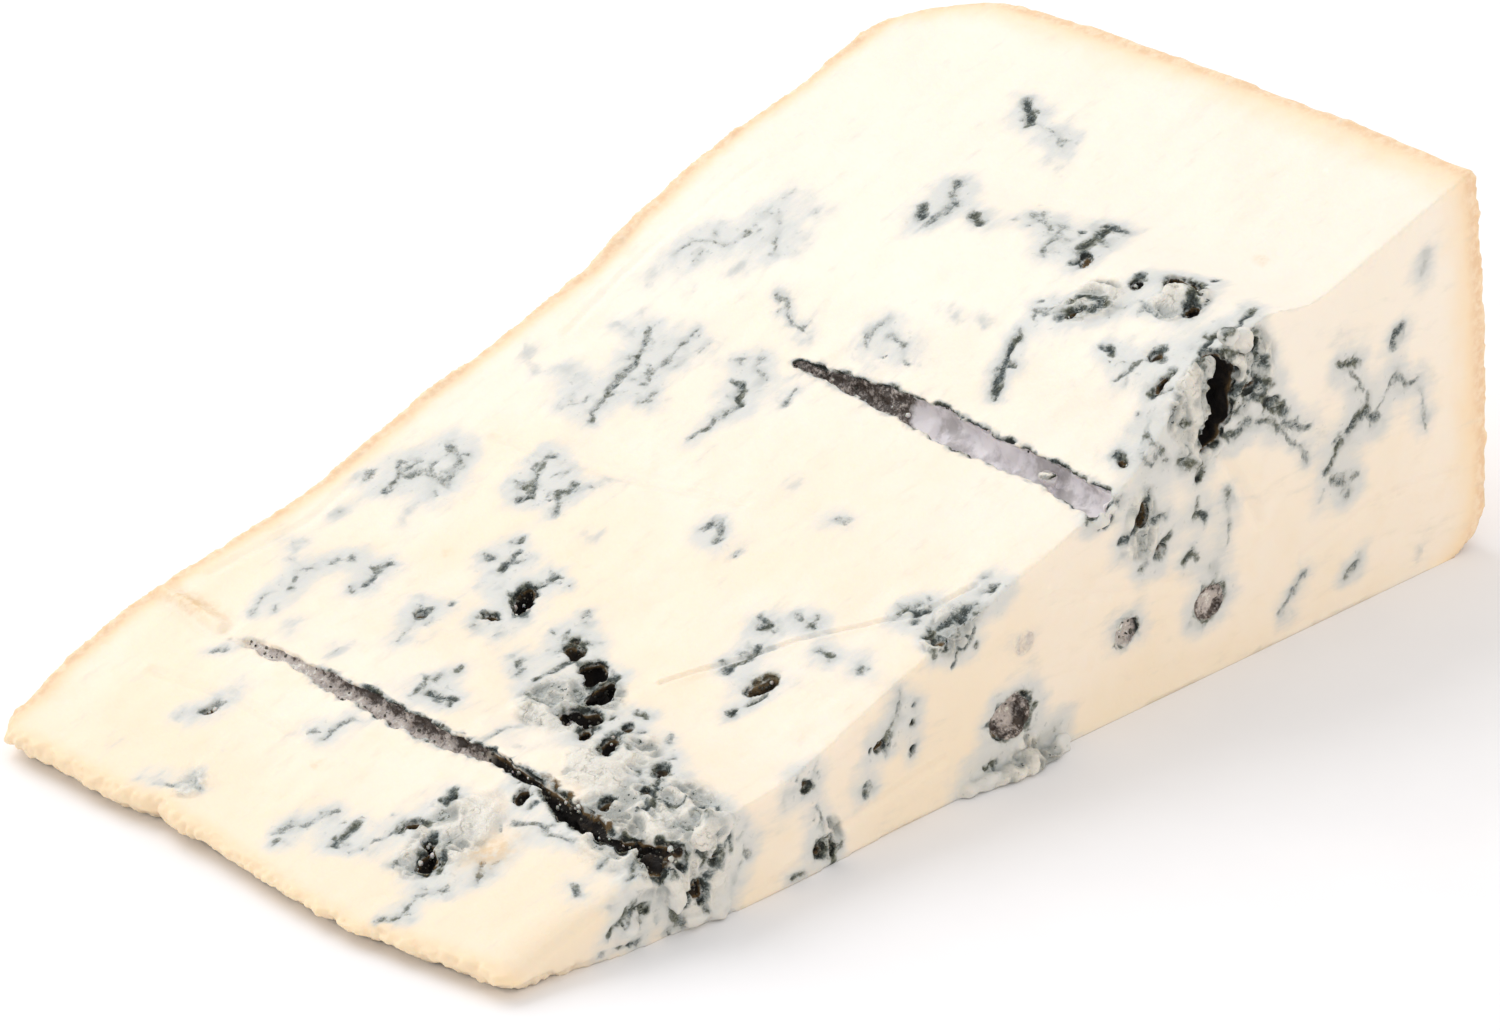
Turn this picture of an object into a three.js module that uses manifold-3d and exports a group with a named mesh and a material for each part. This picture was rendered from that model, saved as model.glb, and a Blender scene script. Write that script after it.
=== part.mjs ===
// Gorgonzola wedge: a slice of a blue cheese wheel that was halved flat, lying on one radial cut.
// Millimetres, +Z up. Inside this file X is the distance from the wheel's middle (the thin tip)
// to the rind, Y runs along the wheel's axis from the cut that halved the wheel (-Y) to its flat
// rind face (+Y), and Z is the height above the surface that the wedge lies on. The finished
// mesh is moved along X at the end, so that the origin is under the middle of the wedge.
import * as THREE from 'three';
import { mergeVertices } from 'three/addons/utils/BufferGeometryUtils.js';
import { ImprovedNoise } from 'three/addons/math/ImprovedNoise.js';
import Module from 'manifold-3d';

// ---- driving dimensions -------------------------------------------------------------------
const WHEEL_RADIUS = 162.4;      // from the wheel's middle to its rind, low on the wedge
const RIND_LEAN = 4.9;           // how far the rind's upper edge stands back from that
const HALF_WHEEL = 43.5;         // half of the wedge's width along the wheel's axis
const RIND_HEIGHT = 51.7;        // height of the upper cut at the rind
const TIP_THICKNESS = 4.0;       // height of the upper cut over the nominal tip
const TIP_LIFT = 1.3;            // the thin tip curls up from the floor by this
const TIP_ROUNDING = 1.8;        // rounding of the tip's upper edge
const LIP_ROUNDING = 0.8;        // rounding of the tip's lower edge
const ORIGIN_FROM_TIP = 78.9;    // the origin lies under this distance from the nominal tip
const RIM_RADIUS = 15.0;         // rounding between the wheel's side and its flat face
const RIND_BULGE = 1.6;          // how far the rind bulges midway between those
const FOOT_RADIUS = 5.5;         // soft lower corner of the rind
const EDGE_RADIUS = 1.6;         // slight rounding of the rind's upper edge

const FOOT_FLARE = 0.7;          // how far the mid cut spreads at its foot
const SAG_DEPTH = 3.5;           // dip of the upper cut between the two needle tracks
const CREST_HEIGHT = 3.3;        // crest that stands proud past the outer needle track
const PASTE_RELIEF = 0.3;        // unevenness that the knife leaves in soft paste
const RIND_RELIEF = 0.55;        // unevenness of the rind
const TORN_RELIEF = 1.5;         // depth of the crumbling where the paste tore

const CELLS = { along: 56, across: 29, up: 7 };   // cells of the body's surface grid

// ---- helpers ------------------------------------------------------------------------------
const { clamp, lerp, smoothstep } = THREE.MathUtils;
const perlin = new ImprovedNoise();

// Noise between about -1 and 1 with features of the given size.
function wobble(x, y, z, size, seed = 0) {
  return perlin.noise(x / size + seed * 17.3, y / size + seed * 5.1, z / size + seed * 9.7);
}

// 1 between riseEnd and fallStart, 0 before riseStart and after fallEnd.
function plateau(value, riseStart, riseEnd, fallStart, fallEnd) {
  return smoothstep(value, riseStart, riseEnd) * (1 - smoothstep(value, fallStart, fallEnd));
}

// How far a rounded corner draws back, at a distance from the corner's edge.
function cornerSetback(distance, radius) {
  const t = clamp(1 - distance / radius, 0, 1);
  return radius * (1 - Math.sqrt(1 - t * t));
}

// ---- the wedge's faces --------------------------------------------------------------------
// 0 at the flat rind face, 1 at the cut that halved the wheel.
const nearMidCut = (y) => clamp((HALF_WHEEL - y) / (2 * HALF_WHEEL), 0, 1);

// Height of the upper radial cut. Its slope is straight but for a sag and a crest, both
// strongest along the mid cut, and two slight swells along the flat rind face.
function upperCut(x, y) {
  const front = nearMidCut(y);
  const slope = (RIND_HEIGHT - TIP_THICKNESS) / (WHEEL_RADIUS - RIND_LEAN);
  const sag = -SAG_DEPTH * plateau(x, 20, 46, 94, 106) * lerp(0.35, 1, front);
  const crest = CREST_HEIGHT * plateau(x, 100, 110, 119, 130) * front ** 1.5;
  const dip = -0.8 * smoothstep(x, 122, 136) * front ** 2;
  const swells = (1 - front) * (plateau(x, 4, 10, 36, 50) + 0.7 * smoothstep(x, 106, 116));
  const softCorner = -smoothstep(x, 143, 154) * smoothstep(y, 28, 40);
  return TIP_THICKNESS + slope * x + sag + crest + dip + swells + softCorner;
}

// The underside is flat, but for the thin tip, which curls up.
const underside = (x) => TIP_LIFT * (1 - smoothstep(x, -4, 12));

// The cut that halved the wheel. It bulges a little beside the torn inner track, is trimmed
// at the tip and spreads at its foot.
function midCut(x, z) {
  const bulge = plateau(x, 15, 28, 36, 60);
  const flare = FOOT_FLARE * plateau(x, 20, 34, 66, 80) * (1 - smoothstep(z, 0, 9));
  return -HALF_WHEEL - bulge - flare + 2 * (1 - smoothstep(x, 5, 16));
}

// The wheel's flat rind face, gently wavy.
function flatRind(x) {
  return HALF_WHEEL - 0.2 + 0.7 * Math.sin(x / 11) * Math.sin(x / 27 + 0.4);
}

// A smooth hump of height 1, half as high at 0.83 of its reach.
const hump = (value, middle, reach) => Math.exp(-(((value - middle) / reach) ** 2));

// The broken edge of the tip: a belly with a small tooth, a notch and rounded corners.
function tipLine(y) {
  const belly = 2.6 * hump(y, -13, 10) + 1.2 * hump(y, -20, 2.5);
  const notch = 2.6 * hump(y, 16.8, 2.2);
  const lean = 0.6 * (1 - smoothstep(y, -5, 12));
  return -2.2 - lean - belly + notch + cornerSetback(HALF_WHEEL - Math.abs(y), 6);
}

// The tip's face, rounded into the upper cut and the underside.
function tipFace(y, z) {
  const upper = cornerSetback(upperCut(0, y) - z, TIP_ROUNDING);
  return tipLine(y) + upper + cornerSetback(z - TIP_LIFT, LIP_ROUNDING);
}

// The rind round the wheel's side: a leaning, slightly bulging curve with rounded rims.
function drumRind(y, z) {
  const bulge = RIND_BULGE * (1 - (y / HALF_WHEEL) ** 2);
  const drum = WHEEL_RADIUS - RIND_LEAN * (z / RIND_HEIGHT) ** 2 + bulge;
  const rim = cornerSetback(HALF_WHEEL - y, RIM_RADIUS);
  const foot = cornerSetback(z, FOOT_RADIUS);
  const edge = cornerSetback(RIND_HEIGHT - z, EDGE_RADIUS);
  return drum - rim - foot - edge;
}

// ---- where the paste is torn --------------------------------------------------------------
// Ellipses in which the surface crumbles: centre and half-sizes along X, Y and Z.
const TORN_AREAS = [
  { at: [24, -38, 8], size: [12, 14, 12] },     // mouth of the inner track
  { at: [12, -20, 8], size: [9, 7, 6] },        // lifted paste near the tip
  { at: [37, -14, 14], size: [9, 8, 6] },       // caverns beside the inner track
  { at: [109, -44, 38], size: [15, 8, 15] },    // crumbled crest over the deep crack
  { at: [114, -22, 40], size: [8, 6, 6] },      // open mould behind the crest
];

function tornness(x, y, z) {
  const inside = ({ at, size }) =>
    1 - Math.hypot((x - at[0]) / size[0], (y - at[1]) / size[1], (z - at[2]) / size[2]);
  return smoothstep(Math.max(...TORN_AREAS.map(inside)), 0, 0.5);
}

// ---- the body -----------------------------------------------------------------------------
// Grid lines are moved along X by this, so that cells are smaller where tracks are cut, and
// up Z by the next, so that they are smaller where the rind's foot is rounded.
const spread = (u) => u + 0.028 * Math.sin(2 * Math.PI * u) * Math.cos(2 * Math.PI * u);
const settle = (w) => w ** 1.5;

// Takes a point of the unit box to the wedge.
function toWedge(u, v, w) {
  const along = spread(u);
  const up = settle(w);
  const roughY = lerp(-HALF_WHEEL, HALF_WHEEL, v);
  const roughX = lerp(tipLine(roughY), WHEEL_RADIUS - 4, along);
  const roughZ = lerp(underside(roughX), upperCut(roughX, roughY), up);
  const y = lerp(midCut(roughX, roughZ), flatRind(roughX), v);
  const x = lerp(tipFace(y, roughZ), drumRind(y, roughZ), along);
  return new THREE.Vector3(x, y, lerp(underside(x), upperCut(x, y), up));
}

// Moves a point of the surface along its normal: smooth paste, rougher rind, crumbling tears.
function roughen(point, normal) {
  const { x, y, z } = point;
  const rind = Math.max(smoothstep(x, 154, 160), smoothstep(y, HALF_WHEEL - 3, HALF_WHEEL - 1));
  const paste = PASTE_RELIEF * wobble(x, y, z, 7, 1);
  const crust = RIND_RELIEF * rind * wobble(x, y, z, 4, 2);
  const torn = tornness(x, y, z);
  const crumbs = TORN_RELIEF * torn * (wobble(x, y, z, 3.2, 3) + 0.6 * wobble(x, y, z, 6, 4) - 0.25);
  return point.addScaledVector(normal, paste + crust + crumbs);
}

function bodyGeometry() {
  const box = new THREE.BoxGeometry(1, 1, 1, CELLS.along, CELLS.across, CELLS.up);
  const geometry = closedSurface(box);
  eachVertex(geometry, (p) => toWedge(p.x + 0.5, p.y + 0.5, p.z + 0.5));
  geometry.computeVertexNormals();
  const normals = geometry.getAttribute('normal');
  eachVertex(geometry, (p, i) => roughen(p, new THREE.Vector3().fromBufferAttribute(normals, i)));
  geometry.deleteAttribute('normal');
  // The foot is pushed below the floor here, and cut off flat afterwards.
  eachVertex(geometry, (p) => (p.x > 8 && p.z < 0.9 ? p.setZ(-1) : p));
  return geometry;
}

// ---- shapes that are cut away -------------------------------------------------------------
// An uneven ball: the pits and caverns that mould leaves.
function roughBall({ at, size, turn = 0, seed = 0, detail = 3 }) {
  const geometry = closedSurface(new THREE.IcosahedronGeometry(1, detail));
  eachVertex(geometry, (p) => {
    const swell = 1 + 0.38 * wobble(p.x, p.y, p.z, 0.8, seed + 5);
    return p.multiplyScalar(swell).multiply(new THREE.Vector3(...size));
  });
  geometry.rotateZ(turn);
  geometry.translate(...at);
  return geometry;
}

// The tracks of the piercing needles. Each station is a place along Y, the track's middle
// along X, its half-width where it opens, and the depth of its floor under the upper cut.
const TRACKS = [
  [                                 // inner track, right across, torn open at the mid cut
    [-50, 22.6, 2.6, 4.4], [-40, 21.9, 1.3, 3.4], [-32, 20.9, 1.9, 3.8], [-23, 22.1, 1.0, 3.0],
    [-14, 22.9, 1.1, 2.6], [-5, 22.6, 1.8, 2.6], [10, 23.1, 1.8, 2.4], [22, 23.4, 1.3, 2.0],
    [31, 22.4, 1.3, 0.8],
  ],
  [                                 // outer track, which ends in a point
    [-50, 91.6, 2.6, 3.2], [-41, 93.6, 2.1, 2.6], [-28, 94.1, 2.1, 2.7], [-15, 94.6, 2.4, 2.9],
    [-2, 94.8, 1.7, 2.6], [7, 94.4, 0.6, 1.2],
  ],
];

// The middle, half-width and floor depth of a track at a place along Y.
function trackAt(stations, y) {
  const next = Math.max(1, stations.findIndex(([place]) => place >= y));
  const [before, after] = [stations[next - 1], stations[next]];
  const t = (y - before[0]) / (after[0] - before[0]);
  return [1, 2, 3].map((k) => lerp(before[k], after[k], t));
}

// An uneven bar through a track's stations, sunk by this share of the floor's depth.
const BAR_SUNK = 0.25;

function needleTrack(stations, seed) {
  const [from, to] = [stations[0][0], stations.at(-1)[0]];
  const bar = new THREE.CylinderGeometry(1, 1, 1, 8, Math.round((to - from) / 2.4));
  const geometry = closedSurface(bar);
  eachVertex(geometry, (p) => {
    const y = lerp(from, to, p.y + 0.5);
    const [x, half, floor] = trackAt(stations, y);
    const swell = 1 + 0.22 * wobble(p.x * 3, y, p.z * 3, 2.1, seed + 11);
    const rise = (1 - BAR_SUNK) * p.z * swell - BAR_SUNK;
    return p.set(x + half * swell * p.x, y, upperCut(x, y) + floor * rise);
  });
  return geometry;
}

// Pits in the upper cut, each at its place along X and Y, sunk to a depth.
const TOP_PITS = [
  { x: 34.5, y: -17, depth: 1.2, size: [2.2, 2.6, 3], turn: 0.7 },     // cavern, near half
  { x: 41, y: -12.5, depth: 1.4, size: [2.2, 3.6, 4], turn: -0.5 },    // cavern, far half
  { x: 43.6, y: -7.2, depth: 0.2, size: [1.3, 1.8, 1.8], turn: -0.5 },
  { x: 33, y: -23.6, depth: 0.4, size: [2.5, 1.3, 2.2], turn: 0.5 },
  { x: 8.3, y: -20.2, depth: 0.5, size: [2.8, 1.4, 2.4], turn: 0.6 },
  { x: 10.6, y: -14.6, depth: 0.2, size: [1.3, 1.3, 1.6] },
  { x: 47.2, y: 5.2, depth: 0.6, size: [2.8, 1.6, 2.4], turn: 0.3 },
  { x: 42.7, y: 6.2, depth: 0.1, size: [0.9, 1.2, 1.4] },
  { x: 50.8, y: -29.8, depth: 0.3, size: [2, 1.5, 2], turn: -0.4 },
  { x: 21.0, y: -32.2, depth: 1.6, size: [2.2, 4, 3.4] },              // widest part of the track
  { x: 23, y: -43, depth: 1.8, size: [3.4, 4, 3.6] },                  // its torn mouth
  { x: 119.4, y: -31.3, depth: 1.2, size: [2, 4, 5], turn: -0.6 },     // deep eye behind the crest
  { x: 118, y: -25.6, depth: 0.1, size: [1.4, 0.8, 1.2] },
  { x: 111.3, y: -21.2, depth: 0.1, size: [1.6, 1.2, 1.2] },
];

// Pits in the mid cut, each at its place along X and Z. Round ones are cut needle tracks.
const FACE_PITS = [
  { x: 77.8, z: 6.8, size: [3, 2.6, 2.6], turn: 0.2 },
  { x: 79.4, z: 15.6, size: [1.5, 0.8, 1.5] },
  { x: 97, z: 10.8, size: [2.3, 1.4, 1.8] },
  { x: 111.5, z: 9.6, size: [2.8, 0.9, 2.1] },
  { x: 68.2, z: 20.6, size: [3.6, 1.6, 2.4] },
  { x: 42.8, z: 11, size: [1.4, 0.8, 0.9] },
  { x: 46, z: 2.6, size: [1.5, 1.3, 1.4] },
  { x: 100, z: 25, size: [1.2, 1, 2.2] },
  { x: 24.5, z: 5, size: [2.6, 2.4, 2.4] },
  { x: 114.5, z: 36.5, size: [5.5, 2.2, 5] },                          // crumbled hollow
  { x: 111.3, z: 36, size: [1.9, 9, 5.6] },                            // deep black crack
  { x: 109.8, z: 42, size: [1.3, 5, 3.6] },
];

// A frill of soft paste that the knife pressed out along the foot of the mid cut.
const FRILL = { from: 69, to: 85, lumps: 6, size: [2.6, 1.1, 1.0] };

// ---- solids -------------------------------------------------------------------------------
// Merges the shared vertices, so that the surface is closed.
function closedSurface(geometry) {
  geometry.deleteAttribute('normal');
  geometry.deleteAttribute('uv');
  return mergeVertices(geometry, 1e-5);
}

function eachVertex(geometry, move) {
  const position = geometry.getAttribute('position');
  const point = new THREE.Vector3();
  for (let i = 0; i < position.count; i += 1) {
    const moved = move(point.fromBufferAttribute(position, i), i);
    position.setXYZ(i, moved.x, moved.y, moved.z);
  }
}

const wasm = await Module();
wasm.setup();

function toSolid(geometry) {
  return new wasm.Manifold(new wasm.Mesh({
    numProp: 3,
    vertProperties: new Float32Array(geometry.getAttribute('position').array),
    triVerts: new Uint32Array(geometry.getIndex().array),
  }));
}

function toGeometry(solid) {
  const { vertProperties, triVerts } = solid.getMesh();
  const geometry = new THREE.BufferGeometry();
  geometry.setAttribute('position', new THREE.BufferAttribute(vertProperties, 3));
  geometry.setIndex(new THREE.BufferAttribute(triVerts, 1));
  return geometry;
}

// Only the larger pits get a fine surface.
const pitDetail = (size) => (Math.max(...size) > 3 ? 2 : 1);

function topPit({ x, y, depth, size, turn }, seed) {
  const detail = pitDetail(size);
  return roughBall({ at: [x, y, upperCut(x, y) - depth], size, turn, seed, detail });
}

function facePit({ x, z, size, turn }, seed) {
  const detail = pitDetail(size);
  return roughBall({ at: [x, midCut(x, z), z], size, turn, seed: seed + 40, detail });
}

function frillLump(_, i) {
  const x = lerp(FRILL.from, FRILL.to, i / (FRILL.lumps - 1));
  const swell = 1 + 0.3 * Math.sin(i * 2.3);
  const size = FRILL.size.map((s) => s * swell);
  return roughBall({ at: [x, midCut(x, 0) + 0.2, 0.9], size, seed: i + 80, detail: 1 });
}

function cheeseGeometry() {
  const reach = 400;
  const belowFloor = closedSurface(new THREE.BoxGeometry(reach, reach, reach));
  belowFloor.translate(0, 0, -reach / 2);
  let solid = toSolid(bodyGeometry());
  for (const lump of Array.from({ length: FRILL.lumps }, frillLump)) {
    solid = solid.add(toSolid(lump));
  }
  const cuts = [...TRACKS.map(needleTrack), ...TOP_PITS.map(topPit), ...FACE_PITS.map(facePit)];
  for (const cut of [...cuts, belowFloor]) {
    solid = solid.subtract(toSolid(cut));
  }
  return toGeometry(solid);
}

// ---- the part -----------------------------------------------------------------------------
const paste = new THREE.MeshStandardMaterial({ color: 0xf6ecd4, roughness: 0.55, metalness: 0 });
const cheese = new THREE.Mesh(cheeseGeometry(), paste);
cheese.name = 'cheese';
cheese.position.x = -ORIGIN_FROM_TIP;

const wedge = new THREE.Group();
wedge.name = 'gorgonzola_wedge';
wedge.add(cheese);

export default wedge;
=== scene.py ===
"""A wedge of blue-veined soft cheese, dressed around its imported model.

Shapes are worked out in millimetres in the wedge's own frame: X is the distance from the thin tip
to the rind, Y runs along the wheel's axis from the mid cut (-Y) to the wheel's flat rind face (+Y),
and Z is the height above the floor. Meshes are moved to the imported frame, in metres, as they are made.
"""
import math

import bmesh
import bpy
import numpy as np
from bpy.props import FloatProperty, FloatVectorProperty, IntProperty, PointerProperty
from mathutils import Matrix, Vector
from mathutils.kdtree import KDTree


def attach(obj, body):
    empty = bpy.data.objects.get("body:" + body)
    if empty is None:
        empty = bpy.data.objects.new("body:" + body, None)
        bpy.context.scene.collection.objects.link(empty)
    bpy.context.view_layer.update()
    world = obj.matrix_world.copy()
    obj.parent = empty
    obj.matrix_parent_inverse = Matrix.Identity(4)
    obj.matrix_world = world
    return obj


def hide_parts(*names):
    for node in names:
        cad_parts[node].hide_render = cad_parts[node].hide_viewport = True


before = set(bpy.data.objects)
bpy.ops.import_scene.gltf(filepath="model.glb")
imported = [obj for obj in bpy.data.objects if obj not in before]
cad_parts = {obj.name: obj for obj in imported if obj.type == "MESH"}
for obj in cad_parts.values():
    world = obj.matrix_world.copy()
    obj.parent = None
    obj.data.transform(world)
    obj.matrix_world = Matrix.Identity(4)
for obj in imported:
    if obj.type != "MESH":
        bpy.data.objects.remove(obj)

bl_info = {
    "name": "Blue cheese wedge",
    "version": (1, 0, 0),
    "blender": (4, 5, 0),
    "location": "3D View > Sidebar > Cheese",
    "description": "Cuts a veined cheese wedge, sows its mould and lights it",
    "category": "Object",
}

MM = 0.001

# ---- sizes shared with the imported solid, in millimetres -------------------------------------
ORIGIN_FROM_TIP = 78.9      # the frame's origin lies under this distance from the nominal tip
WHEEL_RADIUS = 162.4        # from the wheel's middle to its rind, low on the wedge
RIND_LEAN = 4.9             # how far the rind's upper edge stands back from that
RIND_BULGE = 1.6            # how far the rind bulges midway between its rims
HALF_WHEEL = 43.5           # half of the wedge's width along the wheel's axis
RIND_HEIGHT = 51.7          # height of the upper cut at the rind
TIP_THICKNESS = 4.0         # height of the upper cut over the nominal tip
TIP_LIFT = 0.3              # the thin tip curls up from the floor by this
TIP_ROUNDING = 0.9          # rounding of the tip's upper edge
LIP_FOOT = 2.2              # below this height the tip's thin lip draws back
LIP_UNDERCUT = 2.7          # how far it draws back at the floor
TIP_CORNER = 3.6            # rounding of the tip's corners
TIP_DRAW = 1.0              # how far the mid cut draws in at the tip
RIM_RADIUS = 15.0           # rounding between the wheel's side and its flat face
FOOT_RADIUS = 5.5           # soft lower corner of the rind
EDGE_RADIUS = 1.6           # slight rounding of the rind's upper edge
FOOT_FLARE = 0.7            # how far the mid cut spreads at its foot
SAG_DEPTH = 3.5             # dip of the upper cut between the two needle tracks
CREST_HEIGHT = 3.3          # crest that stands proud past the outer needle track


# ---- the wedge's faces -----------------------------------------------------------------------
def smooth(value, low, high):
    """0 below low, 1 above high, an even curve between."""
    t = np.clip((np.asarray(value, float) - low) / (high - low), 0, 1)
    return t * t * (3 - 2 * t)


def plateau(value, rise_start, rise_end, fall_start, fall_end):
    """1 between rise_end and fall_start, 0 outside rise_start to fall_end."""
    return smooth(value, rise_start, rise_end) * (1 - smooth(value, fall_start, fall_end))


def hump(value, middle, reach):
    """A smooth hump of height 1, half as high at 0.83 of its reach."""
    return np.exp(-(((value - middle) / reach) ** 2))


def corner_setback(distance, radius):
    """How far a rounded corner draws back at a distance from the corner's edge."""
    t = np.clip(1 - distance / radius, 0, 1)
    return radius * (1 - np.sqrt(1 - t * t))


def upper_cut(x, y):
    """Height of the upper radial cut, with its sag, its crest and the swells at its back."""
    front = np.clip((HALF_WHEEL - y) / (2 * HALF_WHEEL), 0, 1)
    slope = (RIND_HEIGHT - TIP_THICKNESS) / (WHEEL_RADIUS - RIND_LEAN)
    sag = -SAG_DEPTH * plateau(x, 20, 46, 94, 106) * (0.35 + 0.65 * front)
    crest = CREST_HEIGHT * plateau(x, 100, 110, 119, 130) * front ** 1.5
    dip = -0.8 * smooth(x, 122, 136) * front ** 2
    swells = (1 - front) * (plateau(x, 4, 10, 36, 50) + 0.7 * smooth(x, 106, 116))
    soft_corner = -smooth(x, 143, 154) * smooth(y, 28, 40)
    worn_edge = -0.38 * corner_setback(y + HALF_WHEEL - drawn_in(x), 4.5) * (1 - smooth(x, 6, 22))
    return TIP_THICKNESS + slope * x + sag + crest + dip + swells + soft_corner + worn_edge


def drawn_in(x):
    """How far the mid cut draws in at the tip."""
    return TIP_DRAW * (1 - smooth(x, 5, 16))


def under_lip(z):
    """0 on the thin lip, rising to 1 at the foot under it."""
    return np.clip(1 - (z - TIP_LIFT) / (LIP_FOOT - TIP_LIFT), 0, 1) ** 1.3


def underside(x):
    """Height of the underside: flat, but for the thin tip, which curls up."""
    return TIP_LIFT * (1 - smooth(x, -4, 12))


def mid_cut(x, z):
    """The cut that halved the wheel: it bulges at the inner track and spreads at its foot."""
    flare = FOOT_FLARE * plateau(x, 20, 34, 66, 80) * (1 - smooth(z, 0, 9))
    return -HALF_WHEEL - plateau(x, 15, 28, 36, 60) - flare + drawn_in(x) * (1 + 1.4 * under_lip(z))


def flat_rind(x):
    """The wheel's flat rind face, gently wavy."""
    return HALF_WHEEL - 0.2 + 0.7 * np.sin(x / 11) * np.sin(x / 27 + 0.4)


def tip_line(y):
    """The broken edge of the tip: a belly with small teeth, a notch and rounded corners."""
    belly = 1.7 * hump(y, -16, 13) + 0.5 * hump(y, -20, 2.2) + 0.4 * hump(y, 10.6, 0.9)
    notch = 1.4 * hump(y, 15.6, 1.4) + 0.5 * hump(y, -23.4, 1.2)
    lean = 1.0 * (1 - smooth(y, -6, 12)) - 0.4 * smooth(y, 24, 34) - 0.5 * smooth(y, -28, -38)
    return -1.9 - lean - belly + notch + corner_setback(HALF_WHEEL - np.abs(y), TIP_CORNER)


def tip_face(y, z):
    """The tip's face, a thin lip over a foot that draws back."""
    upper = corner_setback(upper_cut(tip_line(y), y) - z, TIP_ROUNDING)
    return tip_line(y) + upper + LIP_UNDERCUT * under_lip(z)


def drum_rind(y, z):
    """The rind round the wheel's side: a leaning, slightly bulging curve with rounded rims."""
    drum = WHEEL_RADIUS - RIND_LEAN * (z / RIND_HEIGHT) ** 2 + RIND_BULGE * (1 - (y / HALF_WHEEL) ** 2)
    rim = corner_setback(HALF_WHEEL - y, RIM_RADIUS)
    foot = corner_setback(z, FOOT_RADIUS)
    edge = corner_setback(RIND_HEIGHT - z, EDGE_RADIUS)
    return drum - rim - foot - edge


def to_wedge(box):
    """Takes points of the unit box to the wedge."""
    along, across, up = box.T
    y = HALF_WHEEL * (2 * across - 1)
    nominal_end = WHEEL_RADIUS - 4
    x = tip_line(y) + along * (nominal_end - tip_line(y))
    z = underside(x) + up * (upper_cut(x, y) - underside(x))
    y = mid_cut(x, z) + across * (flat_rind(x) - mid_cut(x, z))
    x = tip_face(y, z) + along * (drum_rind(y, z) - tip_face(y, z))
    return np.stack([x, y, underside(x) + up * (upper_cut(x, y) - underside(x))], axis=1)


def depth_under_skin(points):
    """How far a point lies inside the nearest face that shows; the foot isn't counted."""
    x, y, z = points.T
    faces = [upper_cut(x, y) - z, y - mid_cut(x, z), flat_rind(x) - y,
             drum_rind(y, z) - x, x - tip_face(y, z)]
    return np.min(faces, axis=0)


# ---- noise and distances ---------------------------------------------------------------------
LATTICE = 48
MIDWAY = 60                 # X midway between the two needle tracks


class Noise:
    """Smooth noise between -1 and 1 on a repeating lattice, the same on every run."""

    def __init__(self, seed):
        values = np.random.default_rng(seed).uniform(-1, 1, (LATTICE,) * 3)
        self.values = np.pad(values, ((0, 1),) * 3, mode="wrap").ravel().astype(np.float32)

    def __call__(self, points, size):
        cell = points / size
        base = np.floor(cell)
        part = (cell - base).astype(np.float32)
        u, v, w = (part * part * (3 - 2 * part)).T
        i, j, k = (base.astype(np.int32) % LATTICE).T
        row = LATTICE + 1
        corner = (i * row + j) * row + k
        edges = []
        for offset in (0, 1, row, row + 1):
            start = self.values[corner + offset]
            edges.append(start + u * (self.values[corner + offset + row * row] - start))
        low = edges[0] + v * (edges[2] - edges[0])
        high = edges[1] + v * (edges[3] - edges[1])
        return low + w * (high - low)


def noise_vector(points, size, seed):
    """Three independent noises, to push points about."""
    return np.stack([Noise(seed + i)(points, size) for i in range(3)], axis=1)


def distance_to_path(points, path):
    """Distance from every point to a chain of straight pieces."""
    nearest = np.full(len(points), np.inf)
    for start, end in zip(path, path[1:]):
        run = end - start
        t = np.clip((points - start) @ run / max(run @ run, 1e-9), 0, 1)
        away = np.linalg.norm(points - start - t[:, None] * run, axis=1)
        nearest = np.minimum(nearest, away)
    return nearest


# ---- needle tracks and pits ------------------------------------------------------------------
# Stations of each needle track from the mid cut inwards: Y, X of its middle, half-width where it
# opens, and depth of its floor under the upper cut.
INNER_TRACK = [
    (-48, 21.8, 2.7, 3.4), (-44, 21.6, 2.4, 3.6), (-41.5, 21.2, 1.6, 3.4), (-39, 20.7, 0.8, 3.2),
    (-36.5, 20.3, 0.7, 3.2), (-34.5, 20.3, 1.1, 3.4), (-32, 20.6, 1.45, 3.8), (-29, 21.1, 1.35, 3.8),
    (-26, 21.7, 1.0, 3.4), (-23, 22.6, 0.75, 3.0), (-19, 23.2, 0.7, 2.8), (-15, 23.5, 0.6, 2.6),
    (-12.5, 23.2, 0.9, 2.2), (-10, 22.7, 1.25, 1.9), (-2, 22.7, 1.35, 1.7), (8, 23.1, 1.25, 1.5),
    (15, 23.3, 1.1, 1.2), (20, 23.4, 0.8, 0.9), (25, 23.2, 0.95, 0.7), (31, 22.4, 0.8, 0.3),
]
OUTER_TRACK = [
    (-48, 91.0, 2.5, 3.0), (-45, 91.8, 2.3, 2.9), (-42, 93.2, 2.1, 2.7), (-37, 93.6, 2.1, 2.6),
    (-34, 94.1, 1.9, 2.5), (-31, 93.9, 1.95, 2.5), (-27, 94.0, 2.2, 2.6), (-20, 94.3, 2.3, 2.8),
    (-14, 94.6, 2.2, 2.8), (-8, 94.8, 1.7, 2.6), (0, 94.5, 1.0, 2.2), (4, 94.4, 0.6, 1.5),
    (8, 94.3, 0.3, 0.7),
]
BAR_SUNK = 0.25             # share of its floor's depth by which a track's bar is sunk

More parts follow.
